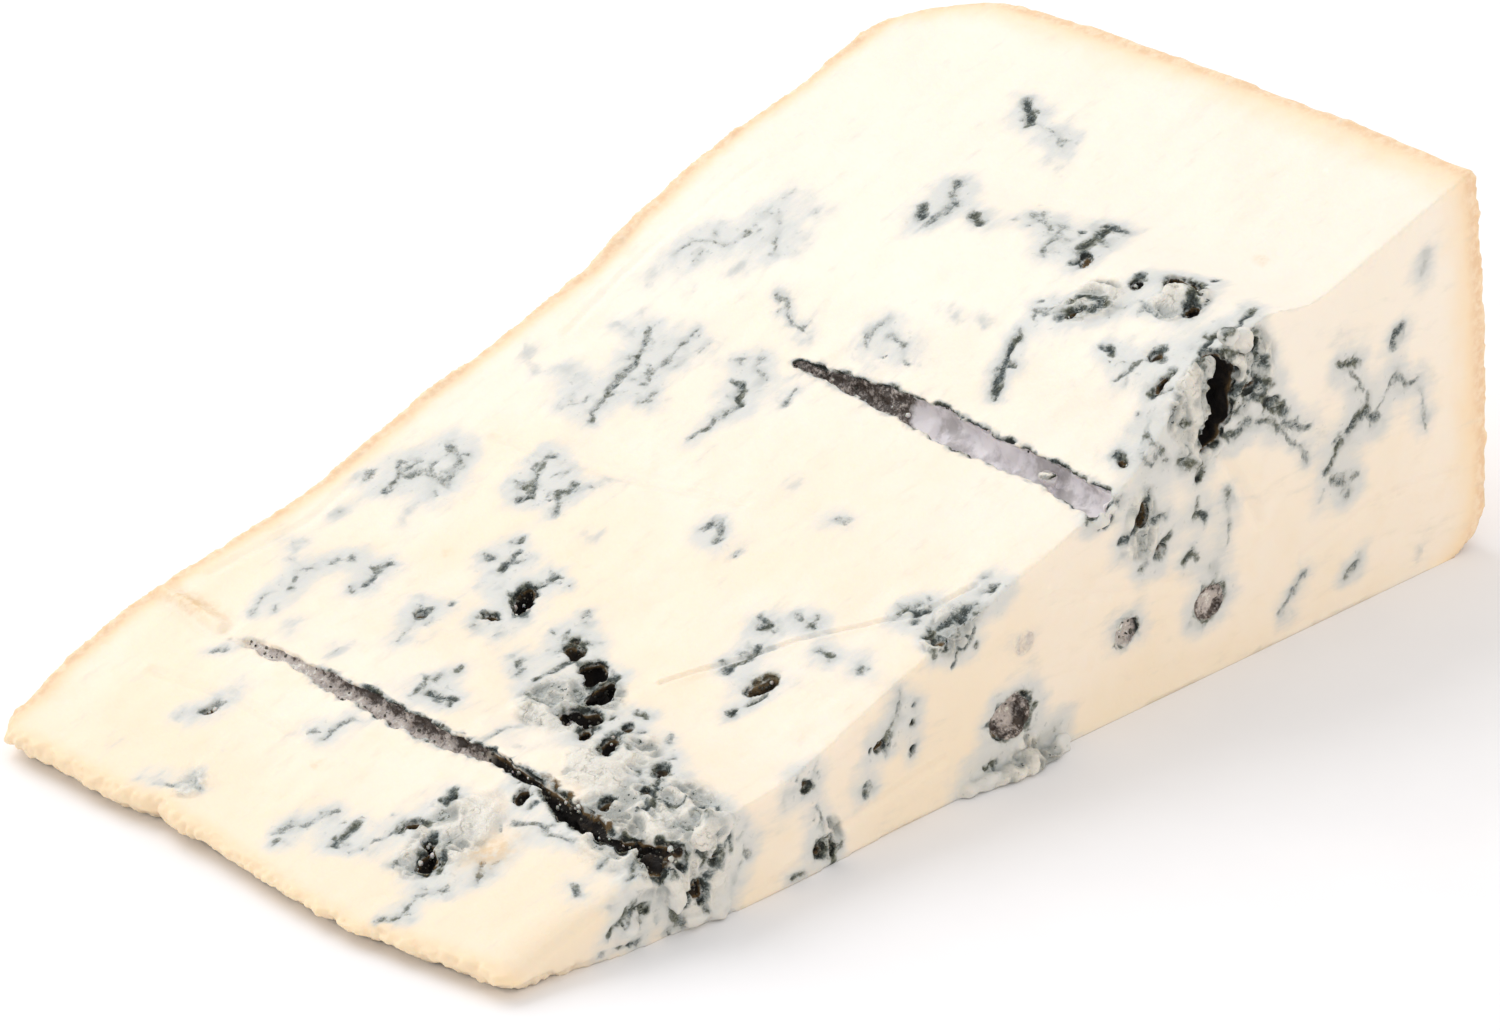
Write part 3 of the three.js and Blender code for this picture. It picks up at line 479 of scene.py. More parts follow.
# The same on the mid cut, as X and Z.
FACE_VEINS = [
    # under the torn mouth of the inner track
    (1.2, 0.95, [(23.6, 3.8), (25, 5.2), (27, 6)]), (0.7, 0.8, [(25.4, 3.2), (27, 1.6), (29, 0.8)]),
    (0.9, 0.85, [(25.5, 9.3), (27, 8), (28.3, 7), (28.6, 9)]), (0.6, 0.8, [(30, 8), (30.2, 10)]),
    (0.6, 0.5, [(31.5, 8.5), (33, 9.5)]), (0.6, 0.55, [(26, 13.6), (28, 12.5), (29.5, 11.4), (30, 10.4)]),
    (0.4, 0.85, [(11.6, 1.4), (12.4, 3.4), (14, 4.8), (16.5, 5), (18, 5)]),
    (0.6, 0.6, [(17.4, 3.4), (18.5, 5), (19.2, 4)]), (0.3, 0.8, [(13.4, 1), (15, 1.3), (17.2, 1.2)]),
    (0.9, 0.5, [(30.4, 4), (31, 4)]), (1.0, 0.9, [(20.6, 12), (20.9, 9.6), (21.6, 7.6)]),
    (0.8, 0.7, [(22, 4.4), (22.4, 2.2), (24, 0.8)]), (0.8, 0.6, [(32.4, 7.4), (33.4, 6.6)]),
    # along the foot, and in the middle
    (1.2, 0.85, [(42.2, 11.2), (43.4, 10.8)]), (0.4, 0.6, [(41, 12), (42.6, 11), (44.4, 12.2)]),
    (0.4, 0.35, [(38, 10.4), (41, 11)]), (0.7, 0.55, [(44.4, 7.6), (45.2, 5.8)]),
    (0.8, 0.9, [(43.8, 2), (44.5, 3.5), (46.5, 3.8), (47, 2), (46.3, 1)]),
    (0.6, 0.7, [(39.4, 0.9), (41, 1)]), (1.0, 0.75, [(52, 6.3), (52.8, 7.5)]),
    (1.0, 1.0, [(54.8, 11.1), (55.8, 11.4)]), (0.5, 0.8, [(56.4, 12), (57.3, 11.5), (56.5, 10.5)]),
    (0.7, 0.5, [(57.4, 12.8), (58.6, 15), (58.8, 17)]), (0.6, 0.8, [(61, 14.2), (61.3, 14.2)]),
    (0.7, 0.8, [(60.7, 12.3), (61, 12.3)]), (0.8, 0.7, [(61, 8.6), (61.5, 9)]),
    (0.1, 0.8, [(62.8, 22.8), (64.5, 22.3), (65.5, 23), (67.5, 23.2), (68.5, 22.5), (70, 23.3), (71, 22)]),
    (0.1, 0.8, [(71, 22), (71.2, 20.5), (70, 18.8), (68.5, 18.2), (68, 17)]),
    (0.1, 0.7, [(62.8, 22.8), (64.8, 20.3), (66.5, 19.3)]),
    (0.2, 1.0, [(64.8, 22), (66, 20.8), (67.2, 19)]), (0.8, 0.8, [(69.8, 1), (72, 1.2), (72.8, 0.6)]),
    (1.0, 0.4, [(77.4, 2.4), (78.6, 2.2)]), (1.0, 0.35, [(84.6, 2.8), (85.8, 2.8)]),
    (0.9, 0.45, [(74, 0.4), (76, 0.6), (79, 0.9)]), (0.7, 0.6, [(80, 0.4), (82, -0.2), (84, 0.4)]),
    (3.0, 0.32, [(70, 0.4), (74, 0.8), (78, 0.6), (82, 0.8), (85, 0.4)]),
    (0.5, 0.8, [(69.6, 0.6), (72, 2.0), (74.4, 2.4)]),
    # the cut needle holes
    (0.9, 0.8, [(75.2, 8.8), (74.6, 6.6), (75.6, 4.9), (78, 4.5), (80.2, 5.4)]),
    (0.9, 0.8, [(80.2, 5.4), (80.6, 7.6), (80, 9.2), (77.8, 9), (75.2, 8.8)]),
    (0.4, 0.12, [(78.2, 17), (77.9, 15.2), (79, 14.3), (80.8, 14.8), (81, 16.4), (79.8, 17.2)]),
    (0.4, 0.4, [(95, 9.8), (94.8, 11.4), (96, 12.6), (98, 12.8)]),
    (0.9, 0.75, [(97.6, 11.4), (98.4, 11.8)]), (0.3, 0.4, [(99.2, 11), (98.4, 9.6), (96.6, 9), (95, 9.8)]),
    (0.9, 0.65, [(108.9, 9), (109.4, 10.8), (111.4, 11.9), (113.8, 11.4), (114.4, 9.8)]),
    (0.9, 0.65, [(114.4, 9.8), (113, 8.2), (110.8, 7.4), (108.9, 9)]),
    # between the outer track and the crack
    (0.9, 1.0, [(90.1, 28.9), (90.8, 27.7)]), (0.8, 0.8, [(92, 30), (93.5, 28.6), (95.2, 28.5)]),
    (1.1, 0.9, [(95.8, 22.8), (97, 23.2), (98, 24), (99, 25), (100.4, 27.6)]),
    (0.8, 0.7, [(100.4, 24.2), (102, 23.8), (103.2, 23.2)]), (1.2, 0.55, [(99.2, 22.2), (100, 20.4)]),
    (0.8, 0.8, [(99.6, 18.4), (100, 18.6)]), (1.0, 0.85, [(102, 19), (103, 20), (104.2, 20.4)]),
    (0.8, 0.8, [(107.2, 16.2), (108.8, 17.4)]), (0.9, 0.9, [(108.8, 21.6), (110.3, 21.2)]),
    (0.7, 0.6, [(109, 24.4), (109, 22)]), (0.9, 0.6, [(101, 31), (102.4, 32.6), (103.2, 30.6)]),
    # round the crack
    (1.0, 1.0, [(110.4, 44), (111.2, 41.4), (112.2, 39)]),
    (1.6, 1.0, [(112.8, 38), (111.8, 35.2), (110.8, 32)]),
    (1.2, 0.6, [(109.6, 42), (109.6, 38), (108.8, 34)]), (1.0, 0.8, [(105.8, 34.8), (106.6, 34)]),
    (1.5, 0.8, [(105.8, 30.2), (107.6, 29)]), (1.2, 0.9, [(109, 28.8), (109.3, 26.4)]),
    (0.8, 0.9, [(109, 44), (111, 44), (113, 44.2), (115.5, 45), (118, 45.6)]),
    (1.1, 0.85, [(112.5, 41.5), (115, 40.6), (117.5, 40.4), (119, 39), (120.8, 37.3)]),
    (1.3, 0.9, [(113, 36), (116, 35.8), (119, 35.5), (120.6, 35.2)]), (0.8, 0.8, [(117, 38), (120, 36)]),
    (1.4, 0.85, [(115.5, 33), (118, 34), (120, 33.4), (122, 32), (124, 30.2)]),
    (1.1, 0.75, [(113, 31), (115, 30), (117.6, 31)]),
    (0.8, 0.6, [(119, 30.6), (121, 30), (123.5, 28), (125, 26.5), (126.6, 25), (128.4, 22.6)]),
    (0.8, 0.7, [(124, 28.8), (126, 28), (129.2, 26.7)]), (0.9, 0.3, [(130, 25.3), (131.6, 25)]),
    (0.8, 0.5, [(114.5, 23.6), (114.8, 21), (115, 18), (114.8, 16)]),
    (0.9, 0.4, [(112, 14.4), (112.8, 14.2)]),
    # towards the rind
    (1.1, 0.5, [(125, 4.2), (126.8, 5.5), (128.6, 7.4)]), (1.2, 0.6, [(136.6, 5), (138.3, 5.8)]),
    (1.0, 0.25, [(149.4, 3), (150.6, 3)]), (1.0, 0.75, [(133.6, 33.2), (135, 32.3), (137.4, 32)]),
    (0.8, 0.6, [(135.8, 32), (137, 30), (138.2, 28.4)]),
    (1.3, 0.75, [(135.8, 23.8), (137.3, 25), (139, 25.8), (139.6, 24.6), (141.2, 23.8)]),
    (0.8, 0.6, [(139.2, 27.4), (139, 26)]),
    (0.8, 0.75, [(134.4, 22.8), (133.6, 22), (132.3, 20.4), (132.2, 19.6)]),
    (0.7, 0.5, [(134.6, 23), (136, 23.8)]), (1.6, 0.6, [(134, 18), (135.8, 17), (136.3, 15.8)]),
    (0.9, 0.5, [(136.2, 17), (138.2, 17.9)]), (0.9, 0.4, [(131.2, 16.2), (132, 17)]),
    (0.9, 0.7, [(143.4, 32.4), (144, 34), (145.4, 34.3)]),
    (1.1, 0.6, [(143, 26.4), (144.5, 28.5), (145.5, 27.4), (146.6, 26.5), (148.6, 26.6)]),
    (0.7, 0.5, [(142.4, 25.6), (141, 24.8)]), (0.9, 0.45, [(149, 24.6), (149.8, 22), (150.2, 20)]),
    (1.2, 0.35, [(149.2, 42.8), (148.8, 41)]), (0.8, 0.55, [(148.4, 40), (148.6, 40.2)]),
    (0.8, 0.25, [(133.6, 37), (134.2, 37)]),
]

# Pale blue-grey bloom round the mould: X, then Y on the upper cut or Z on the mid cut, radius and strength.
TOP_BLOOM = [
    (37, -11, 4.0, 0.9), (31, -18, 3.5, 0.6), (29, -31, 5.5, 0.7), (18, -30, 4.0, 0.8), (12, -21, 4.0, 0.6),
    (28, -38, 4.5, 0.8), (58.5, -35, 3.0, 0.6), (51, -26, 2.5, 0.7), (47.5, 8, 2.4, 0.8),
    (39, 14, 2.4, 0.5), (60, 31, 3.5, 0.5), (18, 5, 2.6, 0.5), (113, 27, 4.0, 0.35),
    (101.5, -1.5, 3.5, 0.45), (119, 8.5, 3.0, 0.4), (86, 22, 5.0, 0.3), (112.5, -22, 4.0, 0.6),
    (122, -9, 3.4, 0.4), (110, -40, 5.0, 0.8), (102, -43, 3.4, 0.6), (68, -42, 2.6, 0.9),
    (75.5, -43, 2.4, 0.9), (3, 16, 2.6, 0.2), (117, -31, 2.4, 0.6), (26, 5, 3.0, 0.4), (17, 21, 2.4, 0.3),
    (65, -7, 2.0, 0.35), (14, -16, 3.0, 0.45), (34, 30, 2.5, 0.35), (62, 19, 2.5, 0.3),
]
FACE_BLOOM = [
    (24, 5, 4.5, 0.9), (29, 8, 3.0, 0.7), (16, 6, 2.4, 0.5), (45.5, 2.6, 2.2, 0.7), (56.5, 14, 3.0, 0.35),
    (68, 21, 3.0, 1.0), (75, 23.6, 2.4, 0.8), (78, 1.0, 3.4, 0.7), (102, 28, 4.0, 0.5), (107, 36, 3.2, 0.8),
    (117, 35, 4.4, 0.8), (123, 29, 3.2, 0.5), (112, 20, 4.5, 0.3), (136, 18, 3.0, 0.3), (130, 15, 4.0, 0.2),
    (138, 26, 3.0, 0.25), (147, 26, 2.8, 0.25), (101, 20, 3.4, 0.35), (97, 11, 1.6, 0.3),
    (84, 1.5, 2.0, 0.4),
]


TWIGS_PER_MM = 0.30         # twigs along each millimetre of a vein
SPECKS_PER_MM = 0.42        # specks beside it
VEIN_REACH = 4.5            # beyond this from a vein nothing of it shows, in millimetres
THINNEST = 0.30             # reach of a vein of no thickness
THICKENING = 0.46           # how much each millimetre of thickness adds to that
BLOOM_REACH = 1.3           # reach of the bloom round such a vein
BLOOM_SPREAD = 1.05         # how much each millimetre of thickness adds to that


def on_upper_cut(course):
    """Lifts X and Y pairs onto the upper cut."""
    pairs = np.array(course, float)
    return np.column_stack([pairs, upper_cut(*pairs.T)])


def on_mid_cut(course):
    """Sets X and Z pairs onto the mid cut."""
    x, z = np.array(course, float).T
    return np.column_stack([x, mid_cut(x, z), z])


def with_twigs(veins, seed):
    """The veins with twigs and specks beside them, drawn with a fixed seed."""
    draw = np.random.default_rng(seed)
    grown = list(veins)
    for thickness, darkness, course in veins:
        for start, end in zip(np.array(course, float), np.array(course, float)[1:]):
            length = math.dist(start, end)
            heading = math.atan2(end[1] - start[1], end[0] - start[0])
            for _ in range(draw.poisson(length * TWIGS_PER_MM)):
                root = start + draw.uniform() * (end - start)
                turned = heading + draw.choice((-1, 1)) * draw.uniform(0.5, 1.5)
                reach = draw.uniform(0.5, 1.9)
                tip = root + reach * np.array((math.cos(turned), math.sin(turned)))
                grown.append((0.7 * thickness, darkness * draw.uniform(0.5, 1.0), [root, tip]))
            for _ in range(draw.poisson(length * SPECKS_PER_MM)):
                spot = start + draw.uniform() * (end - start) + draw.normal(0, 1.2, 2)
                speck = [spot, spot + draw.normal(0, 0.35, 2)]
                grown.append((draw.uniform(0.1, 0.6), darkness * draw.uniform(0.4, 1.0), speck))
    return grown


class Nearby:
    """Finds the points inside a path's box quickly."""

    def __init__(self, points):
        self.points = points
        self.order = np.argsort(points[:, 0])
        self.sorted_x = points[self.order, 0]

    def __call__(self, path, margin):
        low, high = path.min(0) - margin, path.max(0) + margin
        first, last = np.searchsorted(self.sorted_x, (low[0], high[0]))
        span = self.order[first:last]
        inside = np.all((self.points[span] > low) & (self.points[span] < high), axis=1)
        return span[inside]


def mould_fields(points):
    """For every point: how dense its mould is, and the strength of the pale bloom round it."""
    warped = points + 0.5 * noise_vector(points, 2.1, 20) + 0.3 * noise_vector(points, 0.8, 24)
    swell = 1 + 0.45 * Noise(28)(points, 1.6)
    density, bloom = np.zeros(len(points)), np.zeros(len(points))
    nearby = Nearby(points)
    veins = [(t, d, on_upper_cut(c)) for t, d, c in with_twigs(TOP_VEINS, 5)]
    veins += [(t, d, on_mid_cut(c)) for t, d, c in with_twigs(FACE_VEINS, 6)]
    for thickness, darkness, path in veins:
        near = nearby(path, VEIN_REACH)
        away = distance_to_path(warped[near], path)
        reach = (THICKENING * thickness + THINNEST) * swell[near]
        faded = darkness * (1 - 0.3 * smooth(points[near, 1], 8, 34))
        density[near] = np.maximum(density[near], faded * hump(away, 0, reach))
        pale = 0.8 * min(1, darkness * (0.6 + thickness))
        glow = pale * hump(away, 0, BLOOM_REACH + BLOOM_SPREAD * thickness)
        bloom[near] = 1 - (1 - bloom[near]) * (1 - glow)
    patches = [(on_upper_cut([(u, v)]), r, s) for u, v, r, s in TOP_BLOOM]
    patches += [(on_mid_cut([(u, v)]), r, s) for u, v, r, s in FACE_BLOOM]
    for middle, radius, strength in patches:
        near = nearby(middle, radius * 2)
        away = np.linalg.norm(warped[near] - middle, axis=1)
        bloom[near] = 1 - (1 - bloom[near]) * (1 - strength * hump(away, 0, radius))
    return density, bloom


def creasing(points):
    """How far every point is pushed in by the creases, with a slight lip beside each."""
    depth = np.zeros(len(points))
    nearby = Nearby(points)
    creases = [(w, d, on_upper_cut(c)) for w, d, c in TOP_CREASES]
    creases += [(w, d, on_mid_cut(c)) for w, d, c in FACE_CREASES]
    for width, deepest, path in creases:
        near = nearby(path, VEIN_REACH)
        away = distance_to_path(points[near], path)
        depth[near] += deepest * (hump(away, 0, width) - 0.45 * hump(away, 2 * width, width))
    return depth


def tornness(points):
    """1 in the heart of the torn areas, 0 outside them."""
    uneven = points + 1.6 * noise_vector(points, 5.0, 90)
    inside = [1 - np.linalg.norm((uneven - middle) / size, axis=1) for middle, size in TORN_AREAS]
    return smooth(np.max(inside, axis=0), 0.0, 0.4)


def whipped(points):
    """Crests of torn soft paste: 1 along their sharp ridges, 0 in the furrows between."""
    pulled = (points + 1.1 * noise_vector(points, 3.6, 80)) * (1.0, 0.6, 0.6)
    broad = np.clip(1 - np.abs(Noise(84)(pulled, 3.2)) / 0.7, 0, 1)
    fine = np.clip(1 - np.abs(Noise(85)(pulled, 1.1)) / 0.7, 0, 1)
    return 0.62 * broad ** 1.6 + 0.38 * fine ** 1.5


def across_track(points, track):
    """How far points lie from a track's middle, and how far outside its edge."""
    y, x, width, _ = np.array(track).T
    off = points[:, 0] - np.interp(points[:, 1], y, x)
    half = np.interp(points[:, 1], y, width, right=0)
    return off, np.where(points[:, 1] < y[-1] + 0.5, np.abs(off) - half, 9.0)


def beyond_lips(points, sunk):
    """Distance from the skin to the nearest hollow, 0 inside hollows, searched close to them only."""
    cell, far = 1.2, 9.0
    row, layer = 1000, 1000000
    cells = np.floor(points / cell).astype(np.int64) @ (1, row, layer)
    hollow = (sunk > 0.25) & (points[:, 2] > 0.6)
    walls = np.flatnonzero(hollow & (sunk < 0.8))
    steps = [i + row * j + layer * k for i in (-1, 0, 1) for j in (-1, 0, 1) for k in (-1, 0, 1)]
    near = np.unique(np.add.outer(np.unique(cells[walls]), steps))
    tree = KDTree(len(walls))
    for i in walls:
        tree.insert(points[i], i)
    tree.balance()
    away = np.where(hollow, 0.0, far)
    for i in np.flatnonzero(~hollow & np.isin(cells, near)):
        away[i] = tree.find(points[i])[2]
    return away


class Survey:
    """What is where on the smooth body: mould, tears, hollows and rind, for every point."""

    def __init__(self, points):
        self.points = points
        self.x, self.y, self.z = points.T
        self.from_tip = self.x - tip_line(self.y)
        self.on_top = smooth(self.z - upper_cut(self.x, self.y), -2, -1)
        self.density, self.bloom = mould_fields(points)
        self.torn = tornness(points)
        self.crest = whipped(points)
        self.find_rind()
        self.find_hollows()
        self.find_tracks()
        self.find_needle_holes()
        # tan stains, and one tan patch that is painted shade in a torn swirl
        stains = [hump(self.x, u, a) * hump(self.y, v, b) for u, v, a, b in TAN_STAINS_AND_SHADE]
        self.tan = 0.8 * self.on_top * np.max(stains, axis=0)
        self.find_detail()

    def find_rind(self):
        """Crust on the wheel's two rinds, yellow paste under it, and a little of it on the tip's lip."""
        from_drum = drum_rind(self.y, self.z) - self.x
        from_flat = flat_rind(self.x) - self.y
        self.crust = np.maximum(smooth(from_drum, 3.6, 0.3), smooth(from_flat, 2.4, 0.1))
        under = np.maximum(smooth(from_drum, 10, 1), smooth(from_flat, 4.5, 0.6))
        on_lip = 0.5 * smooth(self.from_tip, 3.6, 0.3)
        self.rind = np.maximum(0.5 * under + 0.5 * self.crust, on_lip)

    def find_hollows(self):
        """How far each point is sunk, the mouldy rims of the hollows, and furrows where paste tore."""
        points, near_mid_cut = self.points, smooth(self.y, -35, -39)
        self.sunk = depth_under_skin(points) * smooth(self.crust, 0.6, 0.1) * smooth(self.from_tip, 3.5, 7)
        self.sunk *= 1 - near_mid_cut * smooth(self.x, 15, 10)
        self.density *= 1 - near_mid_cut * smooth(self.x, 11, 8)
        lips = hump(beyond_lips(points, self.sunk), 0.0, 0.60) * smooth(self.sunk, 0.8, 0.45)
        ragged = 0.72 + 0.8 * Noise(93)(points, 1.3) + 0.5 * Noise(96)(points, 0.6)
        self.rims = lips * np.clip(ragged, 0, 1.2) * smooth(self.from_tip, 3, 5)
        self.rims *= 1 - 0.85 * smooth(self.y, 4, 22) * (self.x < MIDWAY)
        # how sunk each point is; the paste's material turns this into painted shade in the hollows
        self.hollow = smooth(self.sunk, 0.25, 1.3)
        furrows = smooth(self.crest, 0.30, 0.08) * smooth(Noise(92)(points, 2.0), -0.1, 0.4)
        furrows = 0.6 * furrows * smooth(self.torn, 0.35, 0.9)
        self.density = np.max([self.density, 1.1 * self.rims, furrows], axis=0)

    def find_tracks(self):
        """Grit and grey floor in the needle tracks, brown-black fringes of painted shade along the inner
        track, and painted shade on their banks, darker on the rind side.
        """
        x, y, points = self.x, self.y, self.points
        from_inner, off_inner = across_track(points, INNER_TRACK)
        from_outer, off_outer = across_track(points, OUTER_TRACK)
        in_inner = smooth(off_inner, 0.9, 0.4) * smooth(self.sunk, 0.15, 0.5)
        in_inner *= smooth(y, 33, 22) * (1 - 0.3 * smooth(y, 10, 24))
        in_outer = smooth(off_outer, 0.9, 0.4) * smooth(self.sunk, 0.3, 0.7)
        worn = y + (3.2 * Noise(94)(points, 2.6) - 1.4 * from_outer)
        self.grey_floor = in_outer * smooth(worn, -7, -17)
        self.grit = np.maximum(in_outer * smooth(worn, -16, -9), in_inner * smooth(y, -15, -10))
        # painted shade: a patchy dark band along the inner track's edge on the rind side, laid into the
        # hollow field so it takes the hollows' painted shade
        fringe_shade = plateau(off_inner, -0.4, 0.1, 0.3, 1.5) * (from_inner > 0)
        fringe_shade *= plateau(y, -40, -36, -22, -12)
        fringe_shade *= self.on_top
        fringe_shade *= np.clip(0.22 + 0.6 * Noise(98)(points, 0.7), 0, 0.6)
        self.hollow = np.maximum(self.hollow, fringe_shade)
        # painted shade: the tracks' banks darken on the rind side as if in shadow, the inner track also along
        # its edges and less towards its far end
        inner_bank_shade = 0.16 + 0.6 * smooth(from_inner, 0.75, 1.5) + 0.3 * smooth(off_inner, -0.3, 0.1)
        inner_bank_shade -= 0.22 * smooth(y, 6, 26)
        outer_bank_shade = 0.75 * smooth(from_outer, -0.9, 0.5)
        self.shade = np.where(x < MIDWAY, inner_bank_shade, outer_bank_shade)

    def find_needle_holes(self):
        """Grit in the round holes on the mid cut, and dark rings round them."""
        from_holes = [np.hypot((self.x - u) / a, (self.z - v) / b) for u, v, a, b, _ in NEEDLE_HOLES]
        nearest = np.min(from_holes, axis=0)
        darkness = np.array([hole[4] for hole in NEEDLE_HOLES])[np.argmin(from_holes, axis=0)]
        patchy = np.clip(0.65 + 0.9 * Noise(97)(self.points, 1.4), 0, 1)
        rings = darkness * patchy * plateau(nearest, 0.45, 0.75, 0.95, 1.15)
        holes = (0.4 + 0.6 * darkness) * smooth(nearest, 1.05, 0.8) * smooth(self.y, -36, -40)
        self.grit = np.maximum(self.grit, holes)
        # the needle holes' dark rings, their own colour, go into the same field as the painted bank shade
        self.shade = np.where(self.y < -40, 0.15 + 0.8 * rings, self.shade)

    def find_detail(self):
        """Where the mesh stays fine."""
        rind_edge = plateau(self.crust, 0.02, 0.1, 0.9, 0.98)
        lip = smooth(self.from_tip, 2.6, 1.2)
        fields = [2.2 * self.density, self.torn, self.hollow, self.rims, self.grit, rind_edge, lip]
        self.detailed = np.max(fields, axis=0) > 0.2


# ---- meshes ----------------------------------------------------------------------------------
def mesh_object(name, points, faces):
    """A mesh object from points in the wedge's millimetres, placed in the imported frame."""
    placed = (points - (ORIGIN_FROM_TIP, 0, 0)) * MM
    mesh = bpy.data.meshes.new(name)
    mesh.from_pydata(placed.tolist(), [], faces)
    mesh.update()
    made = bpy.data.objects.new(name, mesh)
    bpy.context.scene.collection.objects.link(made)
    return made


def wedge_points(mesh):
    """A mesh's points in the wedge's millimetres."""
    flat = np.zeros(len(mesh.vertices) * 3)
    mesh.vertices.foreach_get("co", flat)
    return flat.reshape(-1, 3) / MM + (ORIGIN_FROM_TIP, 0, 0)


def move_points(mesh, points):
    """Puts a mesh's points at places in the wedge's millimetres."""
    placed = (points - (ORIGIN_FROM_TIP, 0, 0)) * MM
    mesh.vertices.foreach_set("co", placed.ravel())
    mesh.update()


def normals_of(mesh):
    """A mesh's vertex normals."""
    flat = np.zeros(len(mesh.vertices) * 3, np.float32)
    mesh.vertex_normals.foreach_get("vector", flat)
    return flat.reshape(-1, 3)


def finished(made):
    """Turns an object's live modifiers into plain mesh."""
    graph = bpy.context.evaluated_depsgraph_get()
    plain = bpy.data.meshes.new_from_object(made.evaluated_get(graph), depsgraph=graph)
    made.modifiers.clear()
    old, made.data = made.data, plain
    bpy.data.meshes.remove(old)
    plain.name = made.name
    return made


def dress(made, material):
    """Gives an object one material, all over."""
    made.data.materials.clear()
    made.data.materials.append(material)
    made.data.polygons.foreach_set("material_index", [0] * len(made.data.polygons))


def box_surface(cells):
    """Points on the unit box's surface and its quads, facing out, with shared points merged."""
    points, quads = [], []
    for axis in range(3):
        first, second = (axis + 1) % 3, (axis + 2) % 3
        steps = [np.linspace(0, 1, cells[side] + 1) for side in (first, second)]
        u, v = np.meshgrid(*steps, indexing="ij")
        rows, columns = u.shape
        corner = np.arange(rows * columns).reshape(rows, columns)
        ring = [corner[:-1, :-1], corner[1:, :-1], corner[1:, 1:], corner[:-1, 1:]]
        quad = np.stack(ring, axis=-1).reshape(-1, 4)
        for side in (0, 1):
            face = np.zeros((u.size, 3))
            face[:, first], face[:, second], face[:, axis] = u.ravel(), v.ravel(), side
            quads.append((quad if side else quad[:, ::-1]) + sum(len(p) for p in points))
            points.append(face)
    merged, place = np.unique(np.round(np.concatenate(points), 7), axis=0, return_inverse=True)
    return merged, place.reshape(-1)[np.concatenate(quads)].tolist()


SEEDS = {"inner track": 40, "outer track": 44, "top pit": 100, "face pit": 200, "lump": 300, "crumb": 400}


def rough_ball(name, middle, size, turn, seed):
    """An uneven ball of the given half-sizes."""
    ball = bmesh.new()
    bmesh.ops.create_icosphere(ball, subdivisions=4, radius=1)
    points = np.array([v.co for v in ball.verts])
    faces = [[v.index for v in f.verts] for f in ball.faces]
    ball.free()
    swell = 1 + 0.30 * Noise(seed)(points, 0.9) + 0.12 * Noise(seed + 1)(points, 0.35)
    points = points * swell[:, None] * size
    spin = np.array(Matrix.Rotation(turn, 3, "Z"))
    return mesh_object(name, points @ spin.T + middle, faces)


def rough_balls(name, rows):
    """Uneven balls from rows of middle, half-sizes and turn, each with seeds of its own."""
    first = SEEDS[name]
    return [rough_ball(name, *row, first + 2 * i) for i, row in enumerate(rows)]


def needle_track(name, stations):
    """An uneven bar through a track's stations."""
    around, step, seed = 20, 0.5, SEEDS[name]
    y, x, half, floor = np.array(stations, float).T
    along = np.arange(y[0], y[-1], step)
    x, half, floor = (np.interp(along, y, line) for line in (x, half, floor))
    angle = np.linspace(0, 2 * np.pi, around, endpoint=False)
    ring = np.stack([np.cos(angle), np.zeros(around), np.sin(angle)], axis=1)
    middle = np.stack([x, along, upper_cut(x, along) - BAR_SUNK * floor], axis=1)
    spans = np.stack([half, half, (1 - BAR_SUNK) * floor], axis=1)
    points = (middle[:, None, :] + spans[:, None, :] * ring[None]).reshape(-1, 3)
    outward = np.tile(ring, (len(along), 1))
    rough = 0.34 * Noise(seed)(points, 2.2) + 0.32 * Noise(seed + 1)(points, 0.9)
    points += outward * rough[:, None]
    faces = []
    for i in range(len(along) - 1):
        for j in range(around):
            a, b = i * around + j, i * around + (j + 1) % around
            faces.append([a, a + around, b + around, b])
    last = (len(along) - 1) * around
    faces.append(list(range(around)))
    faces.append([last + j for j in reversed(range(around))])
    return mesh_object(name, points, faces)


def cut_or_join(made, tools, operation):
    """Cuts tools out of an object, or joins them to it, and removes them."""
    shelf = bpy.data.collections.new("tools")
    bpy.context.scene.collection.children.link(shelf)
    for tool in tools:
        bpy.context.scene.collection.objects.unlink(tool)
        shelf.objects.link(tool)
    knife = made.modifiers.new("knife", "BOOLEAN")
    knife.operand_type, knife.collection = "COLLECTION", shelf
    knife.operation, knife.solver = operation, "MANIFOLD"
    finished(made)
    for tool in tools:
        bpy.data.meshes.remove(tool.data)
    bpy.data.collections.remove(shelf)


def keep_largest(mesh):
    """Deletes loose scraps, leaving the one largest body."""
    work = bmesh.new()
    work.from_mesh(mesh)
    unseen, bodies = set(work.verts), []
    while unseen:
        stack, body = [next(iter(unseen))], []
        unseen.discard(stack[0])
        while stack:
            vert = stack.pop()
            body.append(vert)
            for edge in vert.link_edges:
                other = edge.other_vert(vert)
                if other in unseen:
                    unseen.discard(other)
                    stack.append(other)
        bodies.append(body)
    bodies.sort(key=len)
    bmesh.ops.delete(work, geom=[v for body in bodies[:-1] for v in body], context="VERTS")
    work.to_mesh(mesh)
    work.free()


# ---- node trees ------------------------------------------------------------------------------
DRAWN_OUT = (0.4, 1.3, 1.3)     # streaks run along X, the way the knife went


